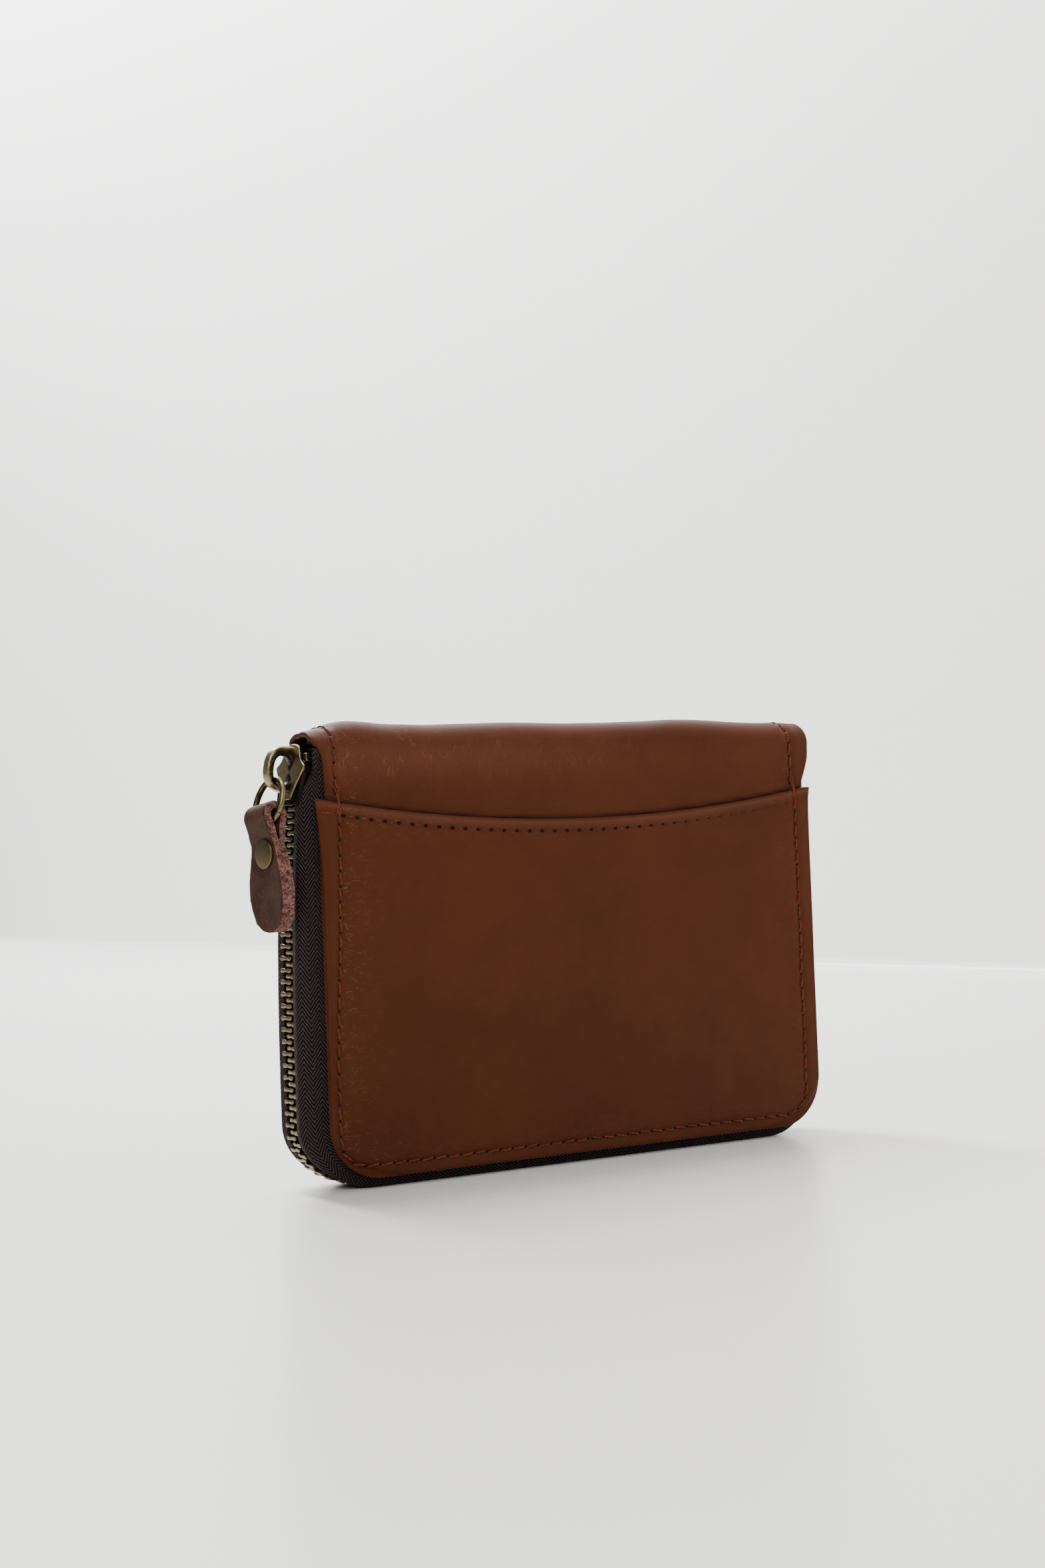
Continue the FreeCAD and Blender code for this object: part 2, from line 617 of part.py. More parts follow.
def tab_outline():
    """The tab seen on its face: narrow at the fold, wider below, rounded at its end."""
    right = [(half, z + TAB_TOP) for half, z in TAB_HALVES]
    half, z_end = right[-1]
    low = TAB_TOP - TAB_LENGTH
    edges = []
    side = [V(-6, y, z) for y, z in right]
    edges += [Part.makeLine(a, b) for a, b in zip(side, side[1:])]
    other = [V(-6, -y, z) for y, z in right]
    edges.append(Part.Arc(side[-1], V(-6, 0, low), other[-1]).toShape())
    edges += [Part.makeLine(a, b) for a, b in zip(reversed(other), list(reversed(other))[1:])]
    edges.append(Part.makeLine(other[0], V(-6, -right[0][0], TAB_TOP + 1)))
    edges.append(Part.makeLine(V(-6, -right[0][0], TAB_TOP + 1), V(-6, right[0][0], TAB_TOP + 1)))
    edges.append(Part.makeLine(V(-6, right[0][0], TAB_TOP + 1), side[0]))
    return Part.Face(Part.Wire(Part.__sortEdges__(edges))).extrude(V(12, 0, 0))


def tab_frame(shape):
    """Hang a shape from the ring's lowest point, leaning round the ring."""
    top, centre, down = ring_place()
    shape = shape.copy()
    shape.translate(V(TAB_IN, 0, 0))
    shape.rotate(V(0, 0, 0), V(0, 0, 1), SLIDER_YAW)
    shape.translate(centre + down * RING_RADIUS)
    shape.rotate(centre, ring_normal(), -TAB_LEAN)
    return shape


def pull_tab():
    """Folded leather tab and the two-part rivet that closes it."""
    pieces = tab_section()
    tab = pieces[0].fuse(pieces[1:]).removeSplitter()
    tab.translate(V(0, -8, 0))
    tab = tab.common(tab_outline())
    rivet_z = TAB_TOP - RIVET_DOWN
    face = TAB_PLY + 0.05
    bore = Part.makeCylinder(RIVET_POST + 0.02, 10, V(-5, RIVET_SIDE, rivet_z), V(1, 0, 0))
    save("pull_tab", tab_frame(tab.cut(bore).Solids[0]))

    post = Part.makeCylinder(RIVET_POST, 2 * face, V(-face, RIVET_SIDE, rivet_z), V(1, 0, 0))
    cap = Part.makeCylinder(RIVET_CAP, 0.8, V(-face - 0.8, RIVET_SIDE, rivet_z), V(1, 0, 0))
    rim = [e for e in cap.Edges if abs(e.BoundBox.XMin + face + 0.8) < 1e-6 and e.BoundBox.XLength < 1e-6]
    save("rivet_cap", tab_frame(cap.makeFillet(0.35, rim).fuse(post).removeSplitter().Solids[0]))
    seat = Part.makeCylinder(RIVET_CAP - 0.2, 0.6, V(face, RIVET_SIDE, rivet_z), V(1, 0, 0))
    save("rivet_back", tab_frame(seat))


# ---------------------------------------------------------------- stitching
SIDE_STITCH_IN = 4.0     # perimeter seam in from the left and right edges
BASE_STITCH_UP = 2.6     # and up from the lower edge
MOUTH_STITCH_DOWN = 2.5  # pocket's hem seam below its mouth


def stitch(x, z, tx, tz, y_from, y_to):
    """One stitch: a short bar lying on a cover."""
    nx, nz = tz, -tx
    a = STITCH_LENGTH / 2
    b = STITCH_WIDE / 2
    corners = [(-a, -b), (a, -b), (a, b), (-a, b)]
    points = [(x + tx * s + nx * n, y_from, z + tz * s + nz * n) for s, n in corners]
    return polygon(points).extrude(V(0, y_to - y_from, 0))


def seam_path(top):
    """Perimeter seam from the left top round the base to the right top."""
    x_side = HALF_W - SIDE_STITCH_IN
    z_base = COVER_LOW + BASE_STITCH_UP
    radius = COVER_CORNER - SIDE_STITCH_IN
    left = [(-x_side, top), (-x_side, z_base + radius)]
    steps = 12
    for i in range(1, steps + 1):
        angle = math.radians(90.0 * i / steps)
        left.append((-x_side + radius - radius * math.cos(angle), z_base + radius - radius * math.sin(angle)))
    return left + [(-x, z) for x, z in reversed(left)]


def stitching():
    """Perimeter seams of both covers, the pocket's hem and the two ends of the spine."""
    top = FOLD_Z - 1.0
    back = [stitch(x, z, tx, tz, HALF_T, HALF_T + STITCH_PROUD)
            for x, z, tx, tz in along(seam_path(top), STITCH_PITCH, 1.5)]
    save("back_stitching", Part.makeCompound(back))

    pocket_face = -(HALF_T + PLY_GAP + POCKET_LEATHER)
    front = []
    for x, z, tx, tz in along(seam_path(top), STITCH_PITCH, 1.5):
        mouth = mouth_height(x)
        if abs(z - mouth) < STITCH_LENGTH / 2 + 0.2:
            continue
        face = -HALF_T if z > mouth else pocket_face
        front.append(stitch(x, z, tx, tz, face, face - STITCH_PROUD))
    save("front_stitching", Part.makeCompound(front))

    span = HALF_W - SIDE_STITCH_IN - 1.2
    hem = []
    count = int(2 * span / STITCH_PITCH)
    for i in range(count):
        x = -span + (i + 0.5) * 2 * span / count
        slope = (mouth_height(x + 0.5) - mouth_height(x - 0.5))
        scale = math.hypot(1, slope)
        hem.append(stitch(x, mouth_height(x) - MOUTH_STITCH_DOWN, 1 / scale, slope / scale,
                          pocket_face, pocket_face - STITCH_PROUD))
    save("pocket_hem_stitching", Part.makeCompound(hem))

    spine = []
    for x in (-HALF_W + SIDE_STITCH_IN, HALF_W - SIDE_STITCH_IN):
        for y in (-1.5, 1.5):
            spine.append(box((x - STITCH_WIDE / 2, y - STITCH_LENGTH / 2, HEIGHT),
                             (x + STITCH_WIDE / 2, y + STITCH_LENGTH / 2, HEIGHT + STITCH_PROUD)))
    save("spine_stitching", Part.makeCompound(spine))


def mouth_height(x):
    """Height of the slip pocket's mouth, an arc through its ends and its middle."""
    half = HALF_W + POCKET_OVERHANG
    sag = POCKET_MOUTH_END - POCKET_MOUTH_MID
    radius = (half * half + sag * sag) / (2 * sag)
    return POCKET_MOUTH_MID + radius - math.sqrt(radius * radius - x * x)


# ---------------------------------------------------------------- all nodes
os.makedirs("parts", exist_ok=True)
covers_and_linings()
stiffeners()
slip_pocket()
card_pockets()
coin_pocket()
zip_tapes()
zip_teeth()
zip_stops()
slider_body()
slider_bridge()
pull_ring()
pull_tab()
stitching()
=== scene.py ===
"""Zip-around leather wallet, standing on its zipped edge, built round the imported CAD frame.

Lengths are in millimetres until a mesh is made, when they are scaled to metres. The frame is
the CAD's: +X the width, +Y towards the back cover, +Z up to the spine.
"""
import math
import random

import bmesh
import bpy
from mathutils import Matrix, Vector, noise


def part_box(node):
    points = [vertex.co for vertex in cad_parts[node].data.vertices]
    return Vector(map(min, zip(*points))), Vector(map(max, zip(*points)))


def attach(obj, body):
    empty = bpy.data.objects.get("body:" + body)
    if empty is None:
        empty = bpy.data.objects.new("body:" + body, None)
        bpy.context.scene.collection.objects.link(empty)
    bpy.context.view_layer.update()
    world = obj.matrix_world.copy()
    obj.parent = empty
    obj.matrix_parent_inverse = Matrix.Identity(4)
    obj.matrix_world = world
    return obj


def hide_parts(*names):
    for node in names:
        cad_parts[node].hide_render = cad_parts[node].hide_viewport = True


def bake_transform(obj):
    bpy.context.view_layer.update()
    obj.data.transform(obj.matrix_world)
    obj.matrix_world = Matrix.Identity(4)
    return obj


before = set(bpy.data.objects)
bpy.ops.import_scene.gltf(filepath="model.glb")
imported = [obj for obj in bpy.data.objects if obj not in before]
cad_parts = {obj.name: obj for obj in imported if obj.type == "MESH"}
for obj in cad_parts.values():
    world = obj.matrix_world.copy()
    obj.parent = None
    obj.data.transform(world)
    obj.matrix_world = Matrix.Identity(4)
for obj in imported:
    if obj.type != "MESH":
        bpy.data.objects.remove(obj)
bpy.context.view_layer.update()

MM = 0.001


# ---------------------------------------------------------------- sizes from the frame
def low_mm(node):
    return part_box(node)[0] * 1000


def high_mm(node):
    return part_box(node)[1] * 1000


HALF_W = high_mm("back_cover").x
HALF_T = high_mm("back_cover").y
HEIGHT = high_mm("spine_cover").z
COVER_LOW = low_mm("back_cover").z
POCKET_FACE = -low_mm("front_slip_pocket").y
POCKET_HALF = high_mm("front_slip_pocket").x
MOUTH_END = high_mm("front_slip_pocket").z
LINING_HALF = high_mm("back_lining").x
LINING_LOW = low_mm("back_lining").z
LINING_OUT = high_mm("back_lining").y
LINING_TOP = high_mm("spine_lining").z
TAPE_OUT = high_mm("back_zip_tape").y
TAPE_TOP = high_mm("back_zip_tape").z

COVER_CORNER = 10.5      # corner radius of the covers
SPINE_BEND = 5.0         # outer radius of the leather over the spine folds
LEATHER = 1.2
POCKET_LEATHER = 1.0
MOUTH_MID = 70.6         # height of the slip pocket's mouth at its middle
LINING = 0.5
STITCH_PITCH = 3.0
SEAM_LEFT = 4.0          # perimeter seam in from the left edge
SEAM_RIGHT = 2.7         # in from the right edge
SEAM_BASE = 2.6          # up from the lower edge
SEAM_DRIFT = 2.0         # left seam runs this much nearer to the edge at its foot
SEAM_CORNER = 5.6        # radius of the seam's lower corners
HEM_DOWN = 2.5           # pocket's hem seam below its mouth
UV_SCALE = 0.1           # texture coordinates are in centimetres

FRONT = -1
BACK = 1
WORD = {FRONT: "front", BACK: "back"}


# ---------------------------------------------------------------- mesh helpers
def make_mesh(name, points, faces, uvs=None, attributes=None, angle=None):
    """A smooth mesh object from points in millimetres, sharp where faces meet at over angle degrees.

    The faces may run either way round: their normals are made to point outwards here.
    """
    mesh = bpy.data.meshes.new(name)
    mesh.from_pydata([tuple(c * MM for c in p) for p in points], [], faces)
    mesh.update()
    shape = bmesh.new()
    shape.from_mesh(mesh)
    bmesh.ops.recalc_face_normals(shape, faces=shape.faces)
    shape.to_mesh(mesh)
    shape.free()
    if uvs:
        layer = mesh.uv_layers.new(name="UVMap")
        for loop in mesh.loops:
            u, v = uvs[loop.vertex_index]
            layer.data[loop.index].uv = (u * UV_SCALE, v * UV_SCALE)
    for key, values in (attributes or {}).items():
        attribute = mesh.attributes.new(key, "FLOAT", "POINT")
        attribute.data.foreach_set("value", values)
    mesh.polygons.foreach_set("use_smooth", [True] * len(mesh.polygons))
    if angle is not None:
        mesh.set_sharp_from_angle(angle=math.radians(angle))
    piece = bpy.data.objects.new(name, mesh)
    bpy.context.scene.collection.objects.link(piece)
    return piece


def metal_piece(name, points, faces, worn, angle):
    """A mesh with its wear, from 0 dark to 1 rubbed bright: one value, or one for each point."""
    values = worn if isinstance(worn, list) else [worn] * len(points)
    return make_mesh(name, points, faces, None, {"worn": values}, angle=angle)


def grid_faces(rows, columns, start=0, wrap_rows=False, wrap_columns=False):
    """Quads between rows and columns of points that are stored row by row."""
    faces = []
    for i in range(rows if wrap_rows else rows - 1):
        for j in range(columns if wrap_columns else columns - 1):
            a = start + i * columns + j
            b = start + i * columns + (j + 1) % columns
            c = start + (i + 1) % rows * columns + (j + 1) % columns
            d = start + (i + 1) % rows * columns + j
            faces.append((a, b, c, d))
    return faces


def shell(name, outer, inner, uvs, attributes=None):
    """Closed shell from two grids of points, with flat rims whose edges are sharp."""
    rows, columns = len(outer), len(outer[0])
    count = rows * columns
    points = [p for row in outer + inner for p in row]
    faces = grid_faces(rows, columns) + grid_faces(rows, columns, count)
    skin = len(faces)
    for j in range(columns - 1):
        for i in (0, rows - 1):
            a, b = i * columns + j, i * columns + j + 1
            faces.append((a, a + count, b + count, b))
    for i in range(rows - 1):
        for j in (0, columns - 1):
            a, b = i * columns + j, (i + 1) * columns + j
            faces.append((a, b, b + count, a + count))
    both = {key: values * 2 for key, values in (attributes or {}).items()}
    piece = make_mesh(name, points, faces, uvs * 2, both)
    mesh = piece.data
    rim = {key for face in list(mesh.polygons)[skin:] for key in face.edge_keys}
    for edge in mesh.edges:
        key = tuple(sorted(edge.vertices))
        if key in rim and abs(key[0] - key[1]) != count:
            edge.use_edge_sharp = True
    return piece


def inset_outline(outline, distance):
    """A closed outline moved inwards; its points run anticlockwise."""
    moved = []
    count = len(outline)
    for i in range(count):
        before, here, after = (Vector(outline[(i + k) % count]) for k in (-1, 0, 1))
        into = (here - before).normalized()
        out_of = (after - here).normalized()
        normal = Vector((-(into.y + out_of.y), into.x + out_of.x))
        length = normal.length
        if length < 1e-6:
            moved.append(tuple(here))
            continue
        normal /= length
        cosine = max(0.45, normal.dot(Vector((-into.y, into.x))))
        moved.append(tuple(here + normal * (distance / cosine)))
    return moved


def rounded_prism(outline, low, high, bevel, steps, dome, place):
    """Points and faces of a flat piece with rounded edges; place maps (a, b, h) to a point."""
    turns = sum(a[0] * b[1] - a[1] * b[0] for a, b in zip(outline, outline[1:] + outline[:1]))
    outline = outline if turns > 0 else outline[::-1]
    rings = []
    for k in range(steps + 1):
        angle = math.radians(90.0 * k / steps)
        rings.append((bevel * (1 - math.sin(angle)), low + bevel * (1 - math.cos(angle))))
    for k in range(steps + 1):
        angle = math.radians(90.0 * k / steps)
        rings.append((bevel * (1 - math.cos(angle)), high - bevel * (1 - math.sin(angle))))
    if dome:
        rings.append((bevel * 3, high + dome * 0.6))
        rings.append((bevel * 6, high + dome))
    points = []
    for inset, height in rings:
        points += [place(a, b, height) for a, b in inset_outline(outline, inset)]
    count = len(outline)
    last = (len(rings) - 1) * count
    faces = grid_faces(len(rings), count, wrap_columns=True)
    faces += [tuple(range(count)), tuple(range(last, last + count))]
    return points, faces


def join_parts(parts):
    """Several (points, faces) sets as one."""
    points, faces = [], []
    for some_points, some_faces in parts:
        base = len(points)
        points += some_points
        faces += [tuple(base + i for i in face) for face in some_faces]
    return points, faces


def circle(radius, count, centre=(0, 0)):
    turn = 2 * math.pi / count
    return [(centre[0] + radius * math.cos(i * turn), centre[1] + radius * math.sin(i * turn))
            for i in range(count)]


def tube(path, radius, sides):
    """Points and faces of a tube along an open path, narrowed at its ends."""
    path = [Vector(p) for p in path]
    last = len(path) - 1
    points = []
    reference = None
    for i, here in enumerate(path):
        along = (path[min(i + 1, last)] - path[max(i - 1, 0)]).normalized()
        if reference is None:
            guess = Vector((0, 1, 0)) if abs(along.y) < 0.9 else Vector((1, 0, 0))
            reference = along.cross(guess).normalized()
        reference = (reference - along * reference.dot(along)).normalized()
        side = along.cross(reference)
        swell = radius * 0.35 if i in (0, last) else radius
        for k in range(sides):
            angle = 2 * math.pi * k / sides
            points.append(here + reference * (swell * math.cos(angle)) + side * (swell * math.sin(angle)))
    faces = grid_faces(last + 1, sides, wrap_columns=True)
    faces += [tuple(range(sides)), tuple(range(last * sides, (last + 1) * sides))]
    return points, faces


def smoothstep(low, high, value):
    share = min(1.0, max(0.0, (value - low) / (high - low)))
    return share * share * (3 - 2 * share)


def bell(value, centre, width):
    """A smooth bump of height 1 round a centre."""
    return math.exp(-((value - centre) / width) ** 2)


def wander(x, y, scale, seed):
    """Smooth noise from -1 to 1 over a distance of scale millimetres."""
    return noise.noise(Vector((x / scale, y / scale, seed * 7.31)))


def spaced(low, high, near_low, near_high, step):
    """Values from low to high, closely spaced by the given lists at both ends."""
    first = [low + d for d in near_low]
    last = [high - d for d in reversed(near_high)]
    span = last[0] - first[-1]
    count = max(1, round(span / step))
    return first + [first[-1] + span * i / count for i in range(1, count)] + last


def panel_columns(left, right, edge_steps, middle):
    """Values from left to right: closely spaced at both edges and even in between."""
    xs = [left + d for d in edge_steps]
    span = right - left - 2 * edge_steps[-1]
    xs += [xs[-1] + span * k / middle for k in range(1, middle)]
    return xs + [right - d for d in reversed(edge_steps)]


# ---------------------------------------------------------------- shapes of the covers
SPINE_FLAT = HALF_T - SPINE_BEND
PANEL_START = SPINE_FLAT + SPINE_BEND * math.pi / 2
SKIN_LENGTH = PANEL_START + HEIGHT - SPINE_BEND - COVER_LOW
FLAT_TOP = SKIN_LENGTH + COVER_LOW    # height of the spine's middle if the skin stood unfolded
SEAM_STRAIGHT = SKIN_LENGTH - SEAM_BASE - SEAM_CORNER
CORNER_TOP = COVER_LOW + COVER_CORNER
EDGE_STEPS = (0.0, 0.05, 0.16, 0.34, 0.58, 0.9, 1.4, 2.0, 2.6, 3.2, 3.8, 4.4, 5.1, 5.8)


def folded_point(t, out, top, bend):
    """Place and outward direction in the YZ plane, at a distance t from the spine's middle.

    The skin runs flat at height top, turns down round a radius bend and hangs at Y = out.
    """
    flat = out - bend
    start = flat + bend * math.pi / 2
    if t <= flat:
        return (t, top), (0.0, 1.0)
    if t < start:
        angle = (t - flat) / bend
        ny, nz = math.sin(angle), math.cos(angle)
        return (flat + bend * ny, top - bend + bend * nz), (ny, nz)
    return (out, top - bend - (t - start)), (1.0, 0.0)


def skin_point(t):
    """The same for the covers' leather."""
    return folded_point(t, HALF_T, HEIGHT, SPINE_BEND)


def cover_half_width(z, half=HALF_W, corner=COVER_CORNER, low=COVER_LOW):
    """Half width of a panel with rounded lower corners, at height z."""
    drop = corner - (z - low)
    if drop <= 0:
        return half
    return half - corner + math.sqrt(max(0.0, corner * corner - drop * drop))


def edge_distance(x, z, half=HALF_W, corner=COVER_CORNER, low=COVER_LOW):
    """Distance in from the sides and the rounded lower edge."""
    across = abs(x) - (half - corner)
    down = (low + corner) - z
    outside = math.hypot(max(across, 0.0), max(down, 0.0))
    return corner - outside - min(max(across, down), 0.0)


def seam_drift(t_down):
    """How far the left seam has moved towards the edge, at a distance down the skin."""
    return SEAM_DRIFT * smoothstep(28, 78, t_down)


def seam_place(x, t_down):
    """(distance along the perimeter seam, distance in from it) for a point of a skin.

    t_down is the distance down from the spine's middle.
    """
    half = HALF_W - (SEAM_LEFT - seam_drift(t_down) if x < 0 else SEAM_RIGHT)
    low = COVER_LOW + SEAM_BASE
    z = FLAT_TOP - t_down
    across = abs(x) - (half - SEAM_CORNER)
    down = (low + SEAM_CORNER) - z
    if down <= 0:
        along = t_down
    elif across <= 0:
        along = SEAM_STRAIGHT + SEAM_CORNER * math.pi / 2 - across
    else:
        along = SEAM_STRAIGHT + SEAM_CORNER * math.atan2(down, across)
    return along, edge_distance(x, z, half, SEAM_CORNER, low)


def seam_point(along, side):
    """(x, t_down, tangent x, tangent t) on the perimeter seam, from the spine's middle."""
    half = HALF_W - (SEAM_LEFT if side < 0 else SEAM_RIGHT)
    half += seam_drift(min(along, SEAM_STRAIGHT)) if side < 0 else 0.0
    centre = half - SEAM_CORNER
    past = along - SEAM_STRAIGHT
    corner = SEAM_CORNER * math.pi / 2
    if past <= 0:
        return side * half, along, 0.0, 1.0
    if past <= corner:
        angle = past / SEAM_CORNER
        c, s = math.cos(angle), math.sin(angle)
        return side * (centre + SEAM_CORNER * c), SEAM_STRAIGHT + SEAM_CORNER * s, -side * s, c
    return side * (centre - (past - corner)), SEAM_STRAIGHT + SEAM_CORNER, -side, 0.0


def mouth_height(x):
    """Height of the slip pocket's mouth."""
    sag = MOUTH_END - MOUTH_MID
    radius = (POCKET_HALF ** 2 + sag * sag) / (2 * sag)
    return MOUTH_MID + radius - math.sqrt(radius * radius - x * x)


def seam_relief(along, inside, seed):
    """Height of the leather round a seam: the sunk stitch line and the puckers beside it."""
    groove = -0.2 * bell(inside, 0, 0.5)
    roll = 0.07 * bell(inside, 1.5, 0.9) + 0.1 * bell(inside, -1.7, 1.1)
    phase = math.cos(2 * math.pi * along / STITCH_PITCH)
    pucker = -0.05 * phase * bell(inside, 0, 1.3)
    pull = 0.05 * wander(along * 2.2, inside * 0.35, 2.3, seed) * math.exp(-max(0.0, inside) / 4.5)
    return groove + roll + pucker + (pull if inside > -1 else 0.0)


def spine_relief(x, t):
    """Height over the spine: soft swells, ends that droop, and a slight crown."""
    top = 1.0 - smoothstep(PANEL_START - 3, PANEL_START + 12, abs(t))
    droop = -(0.85 if x < 0 else 0.2) * smoothstep(51.5, 60.5, abs(x)) * top
    swell = (0.28 * wander(x, t, 21, 3) + 0.16 * wander(x, t, 9, 4) - 0.12) * top
    crown = -0.22 * bell(abs(t), PANEL_START / 2, 2.6)
    return droop + swell + crown


def panel_relief(x, t, seed):
    return 0.14 * wander(x, t, 33, seed) + 0.06 * wander(x, t, 12, seed + 1)


def skin_lift(x, t, up, side):
    """All the slow relief of a cover's outer face; up is how far it faces upwards."""
    rise = (1.3 * smoothstep(-58, -50, x) - 0.5 * smoothstep(-50, -40, x)
            + 0.6 * bell(x, 27, 13)) * up
    return spine_relief(x, t) + panel_relief(x, t, 11 if side == FRONT else 31) + rise


def rim_profile(distance, thick, radius=0.55):
    """How far the two faces draw together at a turned edge."""
    if distance >= radius:
        return 0.0
    share = 1 - distance / radius
    return (thick / 2 - 0.08) * (1 - math.sqrt(max(0.0, 1 - share * share)))


# ---------------------------------------------------------------- leather pieces
def cover_edges(t):
    """How far the cover's left and right edges stand beyond its half width, down the skin."""
    bend = 0.3 * bell(t, 7, 5)
    beside_slider = smoothstep(5, 12, t) * (1 - smoothstep(20, 30, t))
    left = bend - 1.9 * beside_slider - 0.6 * smoothstep(20, 30, t)
    right = bend + 0.7 + 1.9 * (1 - smoothstep(11, 20, t)) - 0.4 * bell(t, 19, 3)
    return left, right


def pocket_edges(down):
    """The same for the slip pocket, at a distance down from its mouth's corners."""
    flare = 0.55 * math.exp(-max(0.0, down) / 3.5)
    return flare - 0.8 * smoothstep(0, 18, down), flare + 0.8


def crease_amount(x, inside):
    """Where fine creases run in from the seams, mostly from the left one; their pale lines are painted
    highlights on the crease ridges.
    """
    beside = math.exp(-max(0.0, inside) / 4.5) if inside > 0.4 else 0.0
    return beside * (1.0 - 0.8 * smoothstep(-50, -38, x))


def fold_streaks_and_sheen_amount(x, t, side):
    """Where fine streaks cross the fold beside the spine: pale lines painted as highlights on its
    wrinkles, and a broad painted sheen over the real paleness of worn leather at the bend.
    """
    across = bell(t, 11.0, 4.5) * (1 - 0.85 * smoothstep(-40, 30, x))
    return across * (1.0 if side == FRONT else 0.5)


def leather_cover(side):
    """One half of the cover's leather, from the spine's middle down to its turned lower edge."""
    rows = spaced(0.0, SKIN_LENGTH, [0.0, 0.6], EDGE_STEPS, 0.8)
    outer, inner, uvs = [], [], []
    marks = {"seam_along": [], "seam_in": [], "crease": [], "fold_streaks_and_sheen": [], "rim": [], "gap": []}
    for t in rows:
        z_flat = FLAT_TOP - t
        (y, z), (ny, nz) = skin_point(t)
        half = cover_half_width(z_flat)
        beyond_left, beyond_right = cover_edges(t)
        left, right = -half - beyond_left, half + beyond_right
        outer_row, inner_row = [], []
        for x in panel_columns(left, right, EDGE_STEPS, 128):
            scaled = x * HALF_W / (HALF_W + (beyond_left if x < 0 else beyond_right))
            edge = max(0.0, min(edge_distance(scaled, z_flat), x - left, right - x))
            along, inside = seam_place(x, t)
            rim = rim_profile(edge, LEATHER)
            lift = skin_lift(x, t, nz, side)
            detail = seam_relief(along, inside, 5)
            above = z_flat - mouth_height(max(-HALF_W, min(HALF_W, x)))
            if side == FRONT and above < -0.8:
                lift, detail = -0.25, 0.0
            high = lift + detail - rim
            deep = min(0.0, lift) - LEATHER + rim
            outer_row.append((x, side * (y + ny * high), z + nz * high))
            inner_row.append((x, side * (y + ny * deep), z + nz * deep))
            uvs.append((x, side * t))
            marks["seam_along"].append(along)
            marks["seam_in"].append(inside)
            marks["crease"].append(crease_amount(x, inside))
            marks["fold_streaks_and_sheen"].append(fold_streaks_and_sheen_amount(x, t, side))
            marks["rim"].append(1 - smoothstep(0.2, 1.4, edge))
            # Painted shadow: a near-black line on the front cover along the slip pocket's mouth, where the
            # pocket's edge stands off the cover.
            marks["gap"].append(bell(above, 0, 0.45) if side == FRONT else 0.0)
        outer.append(outer_row)
        inner.append(inner_row)
    return shell("leather_cover_" + WORD[side], outer, inner, uvs, marks)


